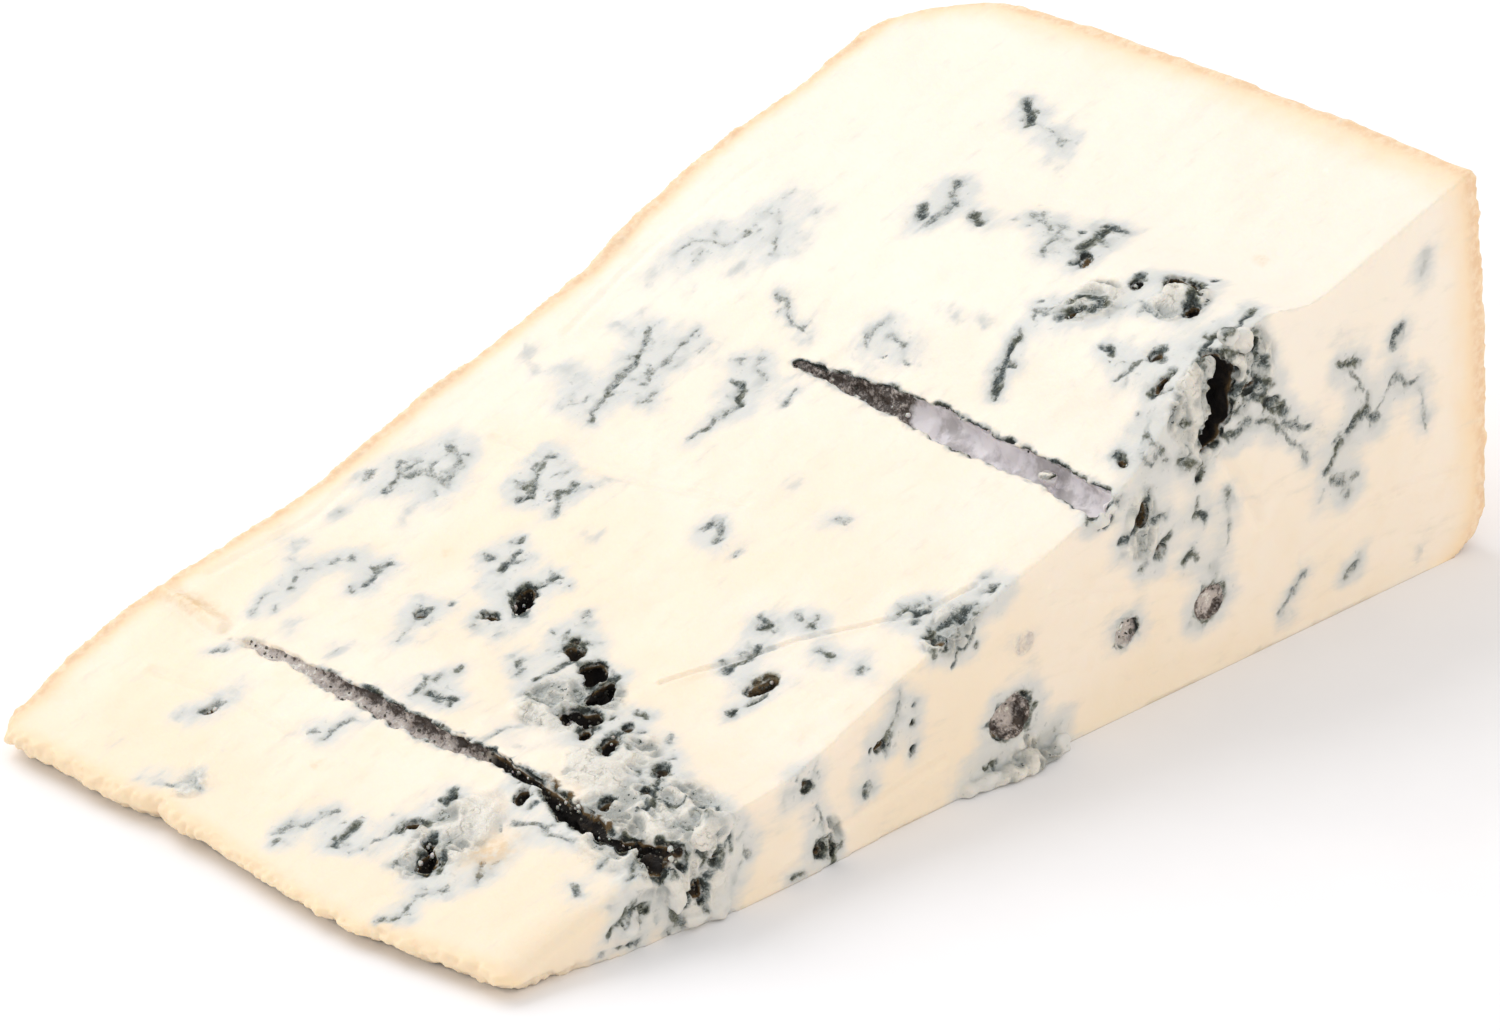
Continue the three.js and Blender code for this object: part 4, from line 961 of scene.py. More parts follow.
class Graph:
    """Adds nodes to a tree, takes numbers or sockets as inputs, and hands back sockets."""

    def __init__(self, tree):
        self.tree = tree

    def node(self, kind, inputs=None, **settings):
        made = self.tree.nodes.new(kind)
        for name, value in settings.items():
            setattr(made, name, value)
        for name, value in (inputs or {}).items():
            if isinstance(value, bpy.types.NodeSocket):
                self.tree.links.new(value, made.inputs[name])
            else:
                made.inputs[name].default_value = value
        return made

    def math(self, operation, first, second=0.0):
        return self.node("ShaderNodeMath", {0: first, 1: second}, operation=operation).outputs[0]

    def plus(self, first, second):
        return self.math("ADD", first, second)

    def times(self, first, second):
        return self.math("MULTIPLY", first, second)

    def most(self, first, second):
        return self.math("MAXIMUM", first, second)

    def vector(self, operation, inputs):
        return self.node("ShaderNodeVectorMath", inputs, operation=operation).outputs[0]

    def ramp(self, value, low, high, out_low=0.0, out_high=1.0):
        inputs = {"Value": value, "From Min": low, "From Max": high, "To Min": out_low, "To Max": out_high}
        made = self.node("ShaderNodeMapRange", inputs, interpolation_type="SMOOTHSTEP")
        return made.outputs["Result"]

    def noise(self, place, per_metre, detail=3.0, roughness=0.55):
        inputs = {"Vector": place, "Scale": per_metre, "Detail": detail, "Roughness": roughness}
        return self.node("ShaderNodeTexNoise", inputs).outputs[0]

    def mix(self, factor, first, second):
        """Mixes two colours, each a socket or its red, green and blue."""
        first, second = (c if isinstance(c, bpy.types.NodeSocket) else (*c, 1.0) for c in (first, second))
        return self.node("ShaderNodeMix", {0: factor, 6: first, 7: second}, data_type="RGBA").outputs[2]

    def over(self, base, top, field, low, high, share=1.0):
        """Lays the top colour over the base as a field rises from low to high."""
        return self.mix(self.ramp(field, low, high, 0.0, share), base, top)

    def chance(self, seed):
        """A random number from 0 to 1."""
        inputs = {2: 0.0, 3: 1.0, "Seed": seed}
        return self.node("FunctionNodeRandomValue", inputs, data_type="FLOAT").outputs[1]

    def attribute(self, name):
        return self.node("ShaderNodeAttribute", attribute_name=name)

    def channels(self, name):
        stored = self.attribute(name).outputs
        parts = self.node("ShaderNodeSeparateColor", {"Color": stored["Color"]}).outputs
        return *parts[:3], stored["Alpha"]

    def sway(self, value, noise, amount):
        """The value, swayed up and down by a noise."""
        return self.plus(value, self.times(self.math("SUBTRACT", noise, 0.5), amount))

    def creases(self, noise, wide, narrow):
        """Thin lines, where a noise crosses its middle."""
        return self.ramp(self.math("ABSOLUTE", self.sway(0.0, noise, 1.0)), wide, narrow)

    def bump(self, shader, strength, distance, height):
        """Gives a shader a bumpy normal."""
        inputs = {"Strength": strength, "Distance": distance, "Height": height}
        self.tree.links.new(self.node("ShaderNodeBump", inputs).outputs["Normal"], shader.inputs["Normal"])


def new_material(name):
    """A material with its graph, its Principled shader and its Object coordinates."""
    material = bpy.data.materials.new(name)
    material.use_nodes = True
    graph = Graph(material.node_tree)
    shader = material.node_tree.nodes["Principled BSDF"]
    place = graph.node("ShaderNodeTexCoord").outputs["Object"]
    return material, graph, shader, place


class PasteSkin:
    """Creamy cut paste with its mould, hollows darkened by painted shade, and rind, from the body's own
    attributes.
    """

    def __init__(self, look):
        self.material, self.graph, shader, place = new_material("veined paste")
        graph = self.graph
        self.density, self.bloom, self.torn, self.crest = graph.channels("mould")
        self.sunk, self.grey_floor, self.tan, self.rind = graph.channels("skin")
        self.grit, self.shade = (graph.attribute(name).outputs["Fac"] for name in ("grit", "shade"))
        self.look = look
        self.place = place
        self.patchy = graph.noise(place, 210, 4.0)
        self.clots = graph.noise(place, 900, 3.0, 0.6)
        self.grains = graph.noise(place, 2400, 2.0, 0.6)
        self.drawn_out = graph.vector("MULTIPLY", {0: place, 1: DRAWN_OUT})
        self.streaks = graph.noise(self.drawn_out, 380, 4.0, 0.6)

        skin = self.tracked(self.hollowed(self.moulded(self.rinded(self.paste()))))
        graph.tree.links.new(skin, shader.inputs["Base Color"])
        self.finish(shader)

    def paste(self):
        """Paste from cream to light, warmer at the tip, whiter higher up as painted light, bluish near mould,
        pulled about where it tore, with painted shade in its torn furrows.
        """
        graph, look = self.graph, self.look
        broad = graph.noise(self.place, 38, 3.0)
        along, _, high = graph.node("ShaderNodeSeparateXYZ", {"Vector": self.place}).outputs
        paste = graph.over(look.paste_cream, look.paste_light, broad, 0.35, 0.65)
        paste = graph.over(paste, look.paste_warm, self.patchy, 0.5, 0.75, 0.35)
        paste = graph.over(paste, look.paste_warm, self.streaks, 0.48, 0.72, 0.3)
        # painted light: the paste turns whiter with height, standing in for the brighter, whiter light on the
        # upper parts of both cuts
        paste = graph.over(paste, look.paste_painted_light, high, 0.012, 0.042, 0.8)
        paste = graph.over(paste, look.paste_tip, along, -0.056, -0.080, 0.8)
        bloom = graph.sway(graph.sway(self.bloom, self.patchy, 0.6), self.streaks, 1.0)
        paste = graph.over(paste, look.bloom, bloom, 0.1, 0.95, 0.9)
        # painted shade: where the paste tore it darkens from its crests down into the furrows between them,
        # where shade falls
        ridges = graph.sway(self.crest, self.clots, 0.6)
        pulled = graph.over(look.furrow_shade, look.crest, ridges, 0.08, 0.68)
        return graph.over(paste, pulled, graph.sway(self.torn, self.patchy, 0.9), 0.15, 0.95, 0.9)

    def rinded(self, paste):
        """Rind, creeping unevenly into the paste."""
        graph, look = self.graph, self.look
        crust = graph.sway(self.rind, self.patchy, 0.35)
        paste = graph.over(paste, look.rind_edge, crust, 0.0, 0.6, 0.85)
        crust_tone = graph.over(look.rind, look.rind_pale, self.clots, 0.35, 0.7)
        return graph.over(paste, crust_tone, crust, 0.44, 0.94)

    def moulded(self, paste):
        """Mould: a grey haze, with loose clots that close up towards the core of a vein."""
        graph, look = self.graph, self.look
        haze = graph.sway(self.density, self.streaks, 0.7)
        paste = graph.over(paste, look.mould_soft, haze, 0.04, 0.42, 0.85)
        haze = graph.sway(self.density, self.clots, 0.7)
        paste = graph.over(paste, look.mould_pale, haze, 0.25, 0.95, 0.85)
        thick = self.thickness()
        tone = graph.over(look.mould_pale, look.mould_grey, thick, 0.42, 0.8)
        tone = graph.over(tone, look.mould_green, graph.noise(self.place, 420, 2.0), 0.42, 0.62, 0.8)
        tone = graph.over(tone, look.mould_dark, thick, 0.68, 1.08)
        self.vein = graph.ramp(thick, 0.25, 0.8)
        skin = graph.mix(self.vein, paste, tone)
        dust = graph.times(graph.ramp(self.clots, 0.6, 0.72), graph.ramp(self.bloom, 0.35, 0.95, 0.0, 0.45))
        return graph.mix(dust, skin, look.mould_pale)

    def thickness(self):
        """How thick the mould lies: clots, crevices in torn paste, dark strands and tufts."""
        graph = self.graph
        swing = graph.plus(graph.sway(0.0, self.clots, 1.5), graph.sway(0.0, self.grains, 0.6))
        thick = graph.plus(self.density, graph.times(swing, graph.ramp(self.density, 0.05, 0.5)))
        in_torn = graph.ramp(graph.sway(self.torn, self.patchy, 3.0), 0.7, 1.2)
        crevice = graph.creases(graph.noise(self.place, 330, 3.0, 0.5), 0.036, 0.004)
        self.crevice = graph.times(graph.times(crevice, in_torn), graph.ramp(self.clots, 0.38, 0.55))
        self.strands = graph.creases(graph.noise(self.drawn_out, 640, 3.0, 0.6), 0.055, 0.015)
        self.strands = graph.times(self.strands, graph.ramp(self.density, 0.28, 0.75))
        tufts = graph.ramp(graph.noise(self.place, 1500, 3.0, 0.65), 0.56, 0.70)
        tufts = graph.times(tufts, graph.ramp(self.crest, 0.75, 0.25))
        tufts = graph.times(tufts, graph.ramp(graph.sway(self.torn, self.patchy, 1.6), 0.35, 0.9))
        for more in (graph.times(self.crevice, 0.5), graph.times(self.strands, 0.92), tufts):
            thick = graph.most(thick, more)
        return thick

    def hollowed(self, skin):
        """Hollows, brown here and there, and darkened by painted shade to black where they are deep."""
        graph, look = self.graph, self.look
        depth = graph.sway(self.sunk, self.clots, 0.5)
        browned = graph.over(look.hollow_shadow, look.hollow_brown, self.patchy, 0.36, 0.52)
        # painted shade: the lining darkens to black as the hollow deepens; its brown patches are the hollows'
        # own colour
        lining = graph.over(browned, look.hollow_shadow, depth, 0.5, 1.05)
        closed = graph.ramp(graph.most(self.grey_floor, self.grit), 0.1, 0.7, 1.0, 0.0)
        self.deep = graph.times(graph.ramp(depth, 0.15, 0.5), closed)
        return graph.mix(self.deep, skin, lining)

    def tracked(self, skin):
        """Grey floor and grit of the needle tracks and holes, the grit darkened by painted shade on the
        banks, and tan stains, one of them painted shade.
        """
        graph, look = self.graph, self.look
        worn = graph.sway(self.patchy, self.clots, 0.3)
        floor = graph.over(look.track_grey, look.track_light, worn, 0.36, 0.56)
        skin = graph.over(skin, floor, self.grey_floor, 0.3, 0.6)
        # painted shade: the grit darkens where the stored bank shade is high; the needle holes' own dark
        # rings darken it the same way
        lit = graph.math("SUBTRACT", 0.17, graph.times(self.shade, 0.5))
        gritty = graph.plus(graph.sway(self.clots, self.grains, 0.8), lit)
        flesh = graph.over(look.grit_dark, look.grit_pink, gritty, 0.22, 0.6)
        flesh = graph.over(flesh, look.crest, gritty, 0.68, 0.78)
        skin = graph.over(skin, flesh, graph.sway(self.grit, self.clots, 0.6), 0.3, 0.6)
        # tan stains, and one patch of painted shade in a torn swirl
        stain = graph.times(self.tan, graph.ramp(self.clots, 0.4, 0.6, 0.4, 1.0))
        return graph.mix(stain, skin, look.tan_stain_and_shade)

    def finish(self, shader):
        """Dullness, glow and fine relief."""
        graph, look = self.graph, self.look
        dull = graph.most(self.vein, self.deep)
        rough = graph.ramp(graph.most(dull, self.rind), 0.0, 1.0, 0.36, 0.85)
        rough = graph.plus(rough, graph.times(self.patchy, 0.12))
        graph.tree.links.new(rough, shader.inputs["Roughness"])
        shader.inputs["Subsurface Weight"].default_value = look.glow
        shader.inputs["Subsurface Radius"].default_value = (1.0, 0.72, 0.42)
        shader.inputs["Subsurface Scale"].default_value = look.glow_depth
        shader.inputs["Specular IOR Level"].default_value = 0.4
        uneven = graph.most(graph.most(dull, self.torn), self.grit)
        height = graph.times(self.patchy, 0.5)
        height = graph.plus(height, graph.times(self.clots, graph.ramp(uneven, 0.0, 1.0, 0.12, 1.1)))
        height = graph.plus(height, graph.times(self.grains, graph.ramp(uneven, 0.0, 1.0, 0.04, 0.4)))
        cracks = graph.times(graph.most(self.crevice, self.strands), 0.6)
        graph.bump(shader, 0.6, 0.6 * MM, graph.math("SUBTRACT", height, cracks))


def bead_material(name, low, high, glow):
    """Mould tufts or crumbs, each with its own tone."""
    material, graph, shader, place = new_material(name)
    tone = graph.attribute("tone").outputs["Fac"]
    grain = graph.noise(place, 3000, 3.0)
    bead_tone = graph.mix(tone, low, high)
    bead_tone = graph.over(bead_tone, [c * 0.5 for c in low], grain, 0.55, 0.8, 0.5)
    graph.tree.links.new(bead_tone, shader.inputs["Base Color"])
    graph.tree.links.new(graph.ramp(grain, 0.2, 0.8, 0.5, 0.8), shader.inputs["Roughness"])
    shader.inputs["Subsurface Weight"].default_value = glow
    shader.inputs["Subsurface Scale"].default_value = 0.6 * MM
    graph.bump(shader, 0.4, 0.2 * MM, grain)
    return material


SOWER = "sow lumps"
TONE_SEED = 7
PAINTED = ("mould", "skin", "grit", "shade", "pale_beads", "dark_beads")    # fields that the body carries


def scatter_tree(name):
    """Geometry Nodes that sow uneven lumps over a body where one of its attributes is high."""
    tree = bpy.data.node_groups.new(name, "GeometryNodeTree")
    sockets = [
        ("Body", "NodeSocketObject"), ("Where", "NodeSocketString"), ("Per Square Metre", "NodeSocketFloat"),
        ("Smallest", "NodeSocketFloat"), ("Largest", "NodeSocketFloat"), ("Unevenness", "NodeSocketFloat"),
        ("Flatness", "NodeSocketFloat"), ("Seed", "NodeSocketInt"), ("Material", "NodeSocketMaterial"),
    ]
    tree.interface.new_socket("Geometry", in_out="INPUT", socket_type="NodeSocketGeometry")
    tree.interface.new_socket("Geometry", in_out="OUTPUT", socket_type="NodeSocketGeometry")
    for label, kind in sockets:
        tree.interface.new_socket(label, in_out="INPUT", socket_type=kind)
    graph = Graph(tree)
    given = graph.node("NodeGroupInput").outputs
    body = graph.node("GeometryNodeObjectInfo", {"Object": given["Body"]}).outputs["Geometry"]
    named = graph.node("GeometryNodeInputNamedAttribute", {"Name": given["Where"]}, data_type="FLOAT")
    sowing = {"Mesh": body, "Density": graph.times(named.outputs["Attribute"], given["Per Square Metre"]),
              "Seed": given["Seed"]}
    points = graph.node("GeometryNodeDistributePointsOnFaces", sowing)
    lump = graph.node("GeometryNodeMeshIcoSphere", {"Radius": 1.0, "Subdivisions": 1}).outputs["Mesh"]
    share = graph.math("POWER", graph.chance(given["Seed"]), 2.0)
    span = graph.math("SUBTRACT", given["Largest"], given["Smallest"])
    size = graph.plus(graph.times(share, span), given["Smallest"])
    flat = graph.times(size, given["Flatness"])
    scale = graph.node("ShaderNodeCombineXYZ", {0: size, 1: size, 2: flat}).outputs[0]
    spots = graph.node("GeometryNodeInstanceOnPoints", {
        "Points": points.outputs["Points"], "Instance": lump,
        "Rotation": points.outputs["Rotation"], "Scale": scale}).outputs[0]
    toning = {"Geometry": spots, "Name": "tone", "Value": graph.chance(TONE_SEED)}
    toned = graph.node("GeometryNodeStoreNamedAttribute", toning, data_type="FLOAT", domain="INSTANCE")
    real = graph.node("GeometryNodeRealizeInstances", {"Geometry": toned.outputs[0]}).outputs[0]
    push = graph.node("ShaderNodeTexNoise", {"Scale": 1400.0, "Detail": 2.0}).outputs["Color"]
    centred = graph.vector("SUBTRACT", {0: push, 1: (0.5, 0.5, 0.5)})
    shift = graph.vector("SCALE", {0: centred, "Scale": given["Unevenness"]})
    rough = graph.node("GeometryNodeSetPosition", {"Geometry": real, "Offset": shift}).outputs[0]
    smooth_shaded = graph.node("GeometryNodeSetShadeSmooth", {"Geometry": rough}).outputs[0]
    dressing = {"Geometry": smooth_shaded, "Material": given["Material"]}
    dressed = graph.node("GeometryNodeSetMaterial", dressing).outputs[0]
    graph.node("NodeGroupOutput", {"Geometry": dressed})
    return tree


def scatter(name, **inputs):
    """A piece of lumps sown by the scatter tree, as plain mesh."""
    made = bpy.data.objects.new(name, bpy.data.meshes.new(name))
    bpy.context.scene.collection.objects.link(made)
    sower = made.modifiers.new("sower", "NODES")
    sower.node_group = bpy.data.node_groups.get(SOWER) or scatter_tree(SOWER)
    for item in sower.node_group.interface.items_tree:
        if item.in_out == "INPUT" and item.name in inputs:
            sower[item.identifier] = inputs[item.name]
    finished(made)
    if not made.data.polygons:
        raise RuntimeError(f"{name}: nothing was sown")
    for painted in PAINTED:
        made.data.attributes.remove(made.data.attributes[painted])
    dress(made, inputs["Material"])
    return made


# ---- settings --------------------------------------------------------------------------------
def tint(name, description, default):
    """A colour property."""
    return FloatVectorProperty(name=name, description=description, default=default,
                               subtype="COLOR", min=0, max=1)


def length(name, description, default):
    """A length property, in metres."""
    return FloatProperty(name=name, description=description, default=default,
                         subtype="DISTANCE", unit="LENGTH")


def power(name, description, default):
    """The power of a light."""
    return FloatProperty(name=name, description=description, default=default, subtype="POWER")


class CheeseShape(bpy.types.PropertyGroup):
    """Sizes that a user would change."""
    voxel: length("Surface grain", "Spacing of the body's surface before it is thinned", 0.30 * MM)
    plain_triangles: IntProperty(name="Plain triangles", description="Triangles left on plain paste and rind",
                                 default=62000)
    detail_triangles: IntProperty(name="Detail triangles",
                                  description="Triangles left on mould, tears and pits", default=132000)
    knife_relief: length("Knife marks", "Unevenness of the cut paste", 0.20 * MM)
    torn_relief: length("Torn relief", "Height of the crests where the paste tore", 0.95 * MM)
    vein_depth: length("Vein depth", "How far the dark veins sink", 0.30 * MM)
    bead: length("Mould beads", "Radius of the largest mould bead", 0.46 * MM)


class CheeseLook(bpy.types.PropertyGroup):
    """Colours and glow that a user would change."""
    paste_cream: tint("Paste", "Main colour of the paste", (0.88, 0.755, 0.58))
    paste_light: tint("Light paste", "Lightest paste", (0.90, 0.80, 0.67))
    # painted light: whiter paste higher up, standing in for the brighter light on the upper parts
    paste_painted_light: tint("High paste", "Whiter paste towards the rind", (0.90, 0.835, 0.73))
    paste_tip: tint("Tip", "Creamier paste at the thin tip", (0.86, 0.725, 0.54))
    paste_warm: tint("Warm paste", "Warmer flecks in the paste", (0.87, 0.735, 0.55))
    bloom: tint("Bloom", "Blue-grey paste round the mould", (0.63, 0.645, 0.625))
    crest: tint("Torn crests", "Crests of torn paste", (0.74, 0.715, 0.645))
    # painted shade: this grey of the torn furrows stands in for the shade in them
    furrow_shade: tint("Torn furrows", "Furrows of torn paste", (0.29, 0.305, 0.285))
    mould_soft: tint("Mould haze", "Faintest mould, spread into the paste", (0.51, 0.525, 0.50))
    mould_pale: tint("Thin mould", "Thin mould over the paste", (0.335, 0.36, 0.345))
    mould_grey: tint("Grey mould", "Denser mould", (0.125, 0.15, 0.148))
    mould_dark: tint("Dark mould", "Thickest mould", (0.022, 0.027, 0.023))
    mould_green: tint("Green mould", "Greenish mould", (0.15, 0.155, 0.105))
    # painted shade: near-black laid into the deep hollows for the shade in them
    hollow_shadow: tint("Hollow", "Deepest hollows", (0.008, 0.006, 0.005))
    hollow_brown: tint("Brown hollow", "Brown lining here and there", (0.13, 0.08, 0.03))
    track_grey: tint("Track", "Grey floor of the outer track", (0.44, 0.41, 0.41))
    track_light: tint("Light track", "Light floor of the outer track", (0.76, 0.72, 0.735))
    grit_dark: tint("Grit", "Grainy grey-brown walls of tracks and needle holes", (0.075, 0.058, 0.048))
    grit_pink: tint("Light grit", "Pinkish grains in the grit", (0.54, 0.48, 0.44))
    # also lays one patch of painted shade in a torn swirl
    tan_stain_and_shade: tint("Stain", "Tan stains and nicks", (0.70, 0.48, 0.24))
    rind: tint("Rind", "Rind", (0.80, 0.57, 0.36))
    rind_pale: tint("Pale rind", "Paler patches of the rind", (0.88, 0.70, 0.50))
    rind_edge: tint("Paste by the rind", "Yellower paste under the rind", (0.90, 0.70, 0.46))
    glow: FloatProperty(name="Glow", description="How much light passes through the paste", default=0.30)
    glow_depth: length("Glow depth", "How far light passes through the paste", 1.5 * MM)


class StageLook(bpy.types.PropertyGroup):
    """Floor, lights and camera."""
    floor: tint("Floor", "Colour of the floor", (0.92, 0.915, 0.925))
    room_light: FloatProperty(name="Room light", description="Strength of the even light", default=0.85)
    key_power: power("Window", "Power of the soft window light", 8.0)
    fill_power: power("Lamp", "Power of the low warm light", 1.6)
    bounce_power: power("Bounce", "Power of the light before the tip", 0.5)
    distance: length("Camera distance", "From the camera to the wedge", 0.9353)
    azimuth: FloatProperty(name="Azimuth", description="Where the camera stands, round the wedge",
                           default=math.radians(-45.63), subtype="ANGLE", unit="ROTATION")
    elevation: FloatProperty(name="Elevation", description="How far the camera looks down",
                             default=math.radians(25.31), subtype="ANGLE", unit="ROTATION")
    lens: FloatProperty(name="Lens", description="Focal length in millimetres", default=192.0)


# ---- body ------------------------------------------------------------------------------------
SURFACE_CELLS = (190, 96, 48)       # cells of the smooth body along, across and up


def rough_out(shape):
    """The wedge with its lumps, tracks and pits, as an even fine mesh."""
    points, quads = box_surface(SURFACE_CELLS)
    body = mesh_object("cheese_wedge", to_wedge(points), quads)
    lumps = [((x, y, z), size, 0) for x, y, z, size in LUMPS]
    cut_or_join(body, rough_balls("lump", lumps), "UNION")
    top_pits = [((x, y, upper_cut(x, y) - depth), size, turn) for x, y, depth, size, turn in TOP_PITS]
    face_pits = [((x, mid_cut(x, z) + depth, z), size, 0) for x, z, depth, size in FACE_PITS]
    tools = [needle_track("inner track", INNER_TRACK), needle_track("outer track", OUTER_TRACK)]
    tools += rough_balls("top pit", top_pits) + rough_balls("face pit", face_pits)
    cut_or_join(body, tools, "DIFFERENCE")
    crumbs = [((x, y, upper_cut(x, y) - depth), size, 0) for x, y, depth, size in CRUMBS]
    cut_or_join(body, rough_balls("crumb", crumbs), "UNION")
    even = body.modifiers.new("even", "REMESH")
    even.mode, even.voxel_size = "VOXEL", shape.voxel
    return finished(body)


def carve_relief(mesh, survey, shape):
    """Knife marks, creases, rind crust, whipped tears and sunken veins."""
    points, outward = survey.points, normals_of(mesh)
    x, _, z = points.T
    streaks = points * (0.35, 1.0, 1.0)
    marks = Noise(60)(points, 8.0) + 0.5 * Noise(61)(streaks, 2.4) + 0.22 * Noise(62)(points, 1.1)
    crust = 0.26 * Noise(63)(points, 6.0) + 0.13 * Noise(64)(points, 1.8) + 0.08 * Noise(65)(points, 0.8)
    lip = np.maximum(smooth(survey.from_tip, 1.8, 0.3), smooth(z, 2.4, 1.2) * smooth(x, 14, 8))
    grains = 0.26 * Noise(66)(points, 1.5) + 0.30 * Noise(67)(points, 0.7)
    push = marks * shape.knife_relief / MM + crust * smooth(survey.rind, 0.7, 1.0) + grains * lip
    push += survey.torn * (1.5 * survey.crest - 0.6) * shape.torn_relief / MM
    push += 0.34 * survey.grit * (Noise(68)(points, 0.75) - 0.1)
    push -= smooth(survey.density, 0.25, 1.0) * shape.vein_depth / MM * (1 + 0.8 * Noise(69)(points, 0.8))
    push -= creasing(points)
    settled = np.maximum(smooth(z, 0.05, 0.8), lip)
    moved = points + outward * (push * settled)[:, None]
    moved[:, 2] = np.maximum(moved[:, 2], 0)
    move_points(mesh, moved)


def store_survey(mesh, survey):
    """Stores what the material and the sowing read: mould, hollows, skin and where beads grow."""
    def store(name, *channels):
        data = np.stack(channels, axis=1).astype(np.float32)
        mesh.attributes.new(name, "FLOAT_COLOR", "POINT").data.foreach_set("color", data.ravel())

    def sow(name, where):
        field = np.clip(where, 0, 1).astype(np.float32)
        mesh.attributes.new(name, "FLOAT", "POINT").data.foreach_set("value", field)

    store("mould", np.clip(survey.density, 0, 1.3), survey.bloom, survey.torn, survey.crest)
    store("skin", survey.hollow, survey.grey_floor, survey.tan, survey.rind)
    sow("grit", survey.grit)
    # painted bank shade of the tracks, together with the needle holes' own rings
    sow("shade", survey.shade)
    x, y, z = survey.points.T
    inside = smooth(survey.from_tip, 3, 5) * smooth(z, 0.8, 1.6) * (1 - smooth(survey.rind, 0.2, 0.5))
    bare = inside * (1 - survey.grey_floor) * (1 - 0.75 * survey.grit)
    bare *= 1 - plateau(x, 107, 109, 116, 118) * smooth(y, -36, -39)
    clusters = smooth(Noise(95)(survey.points, 1.7), -0.05, 0.35)
    sow("pale_beads", clusters * bare * plateau(survey.sunk, 0.4, 0.9, 4, 7))
    on_rims = inside * smooth(survey.rims, 0.5, 0.9)
    sow("dark_beads", on_rims + bare * plateau(survey.sunk, 0.3, 0.6, 1.6, 2.4))


def thin_out(body, detailed, shape):
    """Thins the plain paste, then the detailed places, each to its own number of triangles."""
    body.data.calc_loop_triangles()
    corners = np.zeros(len(body.data.loop_triangles) * 3, np.int32)
    body.data.loop_triangles.foreach_get("vertices", corners)
    in_plain = int(np.count_nonzero(~detailed[corners.reshape(-1, 3)].any(axis=1)))
    count = len(body.data.loop_triangles)
    for name, chosen, spare in (("plain", ~detailed, in_plain - shape.plain_triangles),
                                ("detailed", detailed, count - in_plain - shape.detail_triangles)):
        zone = body.vertex_groups.new(name=name)
        zone.add(np.flatnonzero(chosen).tolist(), 1.0, "REPLACE")
        thin = body.modifiers.new(name, "DECIMATE")
        thin.vertex_group = name
        thin.ratio = min(1.0, 1 - spare / count)
        count -= max(0, spare)
    finished(body)
    body.vertex_groups.clear()


class CHEESE_OT_cut_wedge(bpy.types.Operator):
    """Cut the wedge, carve its relief and paint its veins"""
    bl_idname = "cheese.cut_wedge"
    bl_label = "Cut wedge"

    def execute(self, context):
        shape = context.scene.cheese_shape
        body = rough_out(shape)
        survey = Survey(wedge_points(body.data))
        carve_relief(body.data, survey, shape)
        store_survey(body.data, survey)
        thin_out(body, survey.detailed, shape)
        keep_largest(body.data)
        body.data.polygons.foreach_set("use_smooth", [True] * len(body.data.polygons))
        dress(body, PasteSkin(context.scene.cheese_look).material)
        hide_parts("cheese")
        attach(body, "root")
        return {"FINISHED"}


class CHEESE_OT_sow_mould(bpy.types.Operator):
    """Sow mould beads in the hollows and along the needle tracks"""
    bl_idname = "cheese.sow_mould"
    bl_label = "Sow mould"

    def execute(self, context):
        largest = context.scene.cheese_shape.bead
        dark = bead_material("dark mould beads", (0.02, 0.022, 0.018), (0.15, 0.14, 0.11), 0.0)
        pale = bead_material("pale mould beads", (0.50, 0.47, 0.42), (0.86, 0.83, 0.78), 0.2)
        # each with its field, material, lumps per square metre, seed, smallest and largest radius
        kinds = [("mould_beads_dark", "dark_beads", dark, 1.5e6, 3, 0.09 * MM, 0.55 * largest),
                 ("mould_beads_pale", "pale_beads", pale, 0.9e6, 5, 0.18 * MM, largest)]
        for name, where, material, count, seed, smallest, biggest in kinds:
            beads = scatter(name, Body=bpy.data.objects["cheese_wedge"], Where=where, Seed=seed,
                            Material=material, Smallest=smallest, Largest=biggest,
                            Unevenness=0.08 * MM, Flatness=0.85, **{"Per Square Metre": count})
            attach(beads, "root")
        return {"FINISHED"}


class CHEESE_OT_set_stage(bpy.types.Operator):
    """Lay the floor, hang the lights and place the camera"""
    bl_idname = "cheese.set_stage"
    bl_label = "Set stage"

    def execute(self, context):
        stage = context.scene.cheese_stage
        lay_floor(stage)
        hang_lights(context.scene, stage)
        place_camera(context.scene, stage)
        context.scene.view_settings.view_transform = "Standard"
        return {"FINISHED"}


# ---- stage -----------------------------------------------------------------------------------
FLOOR_HALF = 2.5                    # metres
FLOOR_SPECKLE = (0.82, 0.81, 0.82)
SENSOR_WIDTH = 36.0                 # millimetres
LIGHTS_AIM = (0, 0, 0.02)
CAMERA_AIM = (-0.0034, -0.0035, 0.020)


def lay_floor(stage):
    """A wide pale floor with a faint speckle."""
    half = FLOOR_HALF
    corners = [(-half, -half, 0), (half, -half, 0), (half, half, 0), (-half, half, 0)]
    mesh = bpy.data.meshes.new("floor")
    mesh.from_pydata(corners, [], [(0, 1, 2, 3)])
    floor = bpy.data.objects.new("floor", mesh)
    bpy.context.scene.collection.objects.link(floor)
    material, graph, shader, place = new_material("pale floor")
    grain = graph.noise(place, 60, 4.0)
    speckled = graph.over(stage.floor, FLOOR_SPECKLE, grain, 0.3, 0.7, 0.12)
    graph.tree.links.new(speckled, shader.inputs["Base Color"])
    shader.inputs["Roughness"].default_value = 0.7
    mesh.materials.append(material)


def aim(made, target):
    """Turns a light or camera to look at a point."""
    made.rotation_euler = (target - made.location).to_track_quat("-Z", "Y").to_euler()


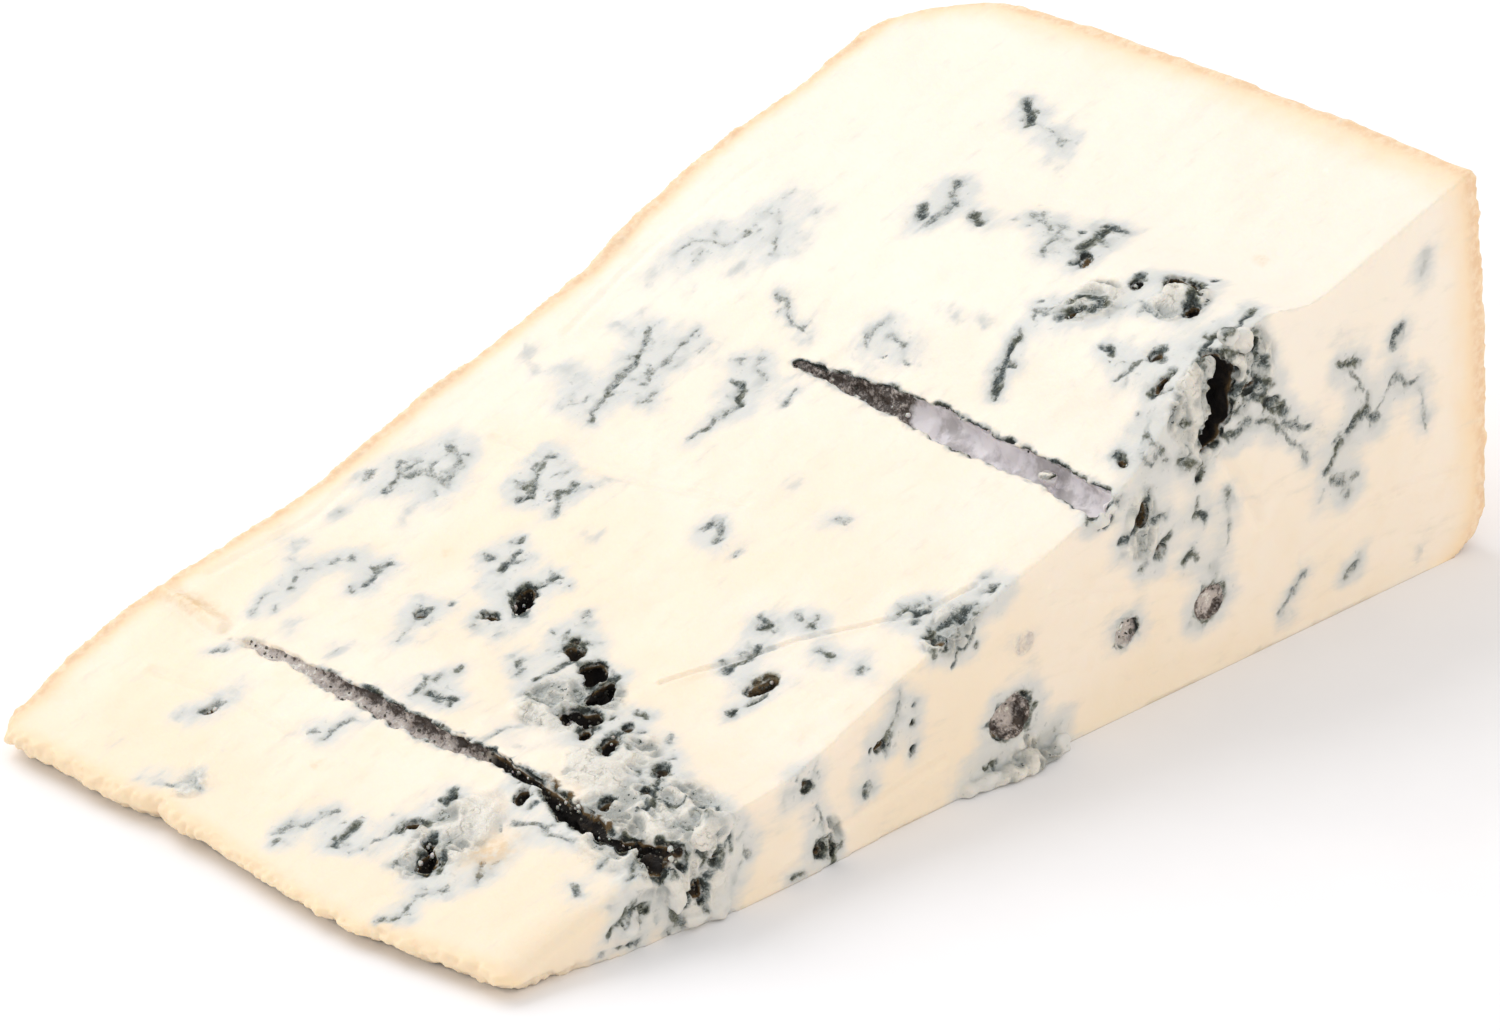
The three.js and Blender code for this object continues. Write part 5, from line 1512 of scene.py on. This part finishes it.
def hang_lights(scene, stage):
    """Even room light, a soft window high over the flat rind, a warm lamp by the mid cut, and a bounce."""
    world = bpy.data.worlds.new("room")
    world.use_nodes = True
    backdrop = world.node_tree.nodes["Background"]
    backdrop.inputs["Color"].default_value = (0.99, 0.99, 1.0, 1)
    backdrop.inputs["Strength"].default_value = stage.room_light
    scene.world = world
    # each with its place, the side of its square, its power and its colour
    lamps = [("window", (-0.05, 0.85, 0.9), 1.1, stage.key_power, (1.0, 0.98, 0.97)),
             ("lamp", (0.35, -0.9, 0.16), 0.5, stage.fill_power, (1.0, 0.76, 0.52)),
             ("bounce", (-0.9, -0.1, 0.14), 0.6, stage.bounce_power, (1.0, 0.90, 0.78))]
    for name, place, size, power, tone in lamps:
        light = bpy.data.lights.new(name, "AREA")
        light.size, light.energy, light.color = size, power, tone
        lamp = bpy.data.objects.new(name, light)
        lamp.location = place
        aim(lamp, Vector(LIGHTS_AIM))
        scene.collection.objects.link(lamp)


def place_camera(scene, stage):
    """A long lens from the tip's mid-cut corner, looking down."""
    target = Vector(CAMERA_AIM)
    flat = math.cos(stage.elevation)
    sideways = (flat * math.sin(stage.azimuth), -flat * math.cos(stage.azimuth))
    away = Vector((*sideways, math.sin(stage.elevation)))
    lens = bpy.data.cameras.new("camera")
    lens.lens, lens.sensor_width = stage.lens, SENSOR_WIDTH
    lens.clip_end = 20.0
    camera = bpy.data.objects.new("camera", lens)
    camera.location = target + away * stage.distance
    aim(camera, target)
    scene.collection.objects.link(camera)
    scene.camera = camera


class CHEESE_PT_tools(bpy.types.Panel):
    """The wedge's tools"""
    bl_label = "Blue cheese wedge"
    bl_space_type = "VIEW_3D"
    bl_region_type = "UI"
    bl_category = "Cheese"

    def draw(self, context):
        for operator in OPERATORS:
            self.layout.operator(operator.bl_idname)
        for settings in SETTINGS:
            group = getattr(context.scene, settings)
            for name in group.__annotations__:
                self.layout.prop(group, name)


OPERATORS = (CHEESE_OT_cut_wedge, CHEESE_OT_sow_mould, CHEESE_OT_set_stage)
SETTINGS = {"cheese_shape": CheeseShape, "cheese_look": CheeseLook, "cheese_stage": StageLook}
CLASSES = (*SETTINGS.values(), *OPERATORS, CHEESE_PT_tools)


def register():
    for each in CLASSES:
        bpy.utils.register_class(each)
    for name, group in SETTINGS.items():
        setattr(bpy.types.Scene, name, PointerProperty(type=group))


def unregister():
    for name in SETTINGS:
        delattr(bpy.types.Scene, name)
    for each in reversed(CLASSES):
        bpy.utils.unregister_class(each)


def main():
    """Builds the whole scene."""
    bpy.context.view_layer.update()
    register()
    bpy.ops.cheese.cut_wedge()
    bpy.ops.cheese.sow_mould()
    bpy.ops.cheese.set_stage()


if __name__ == "__main__":
    main()
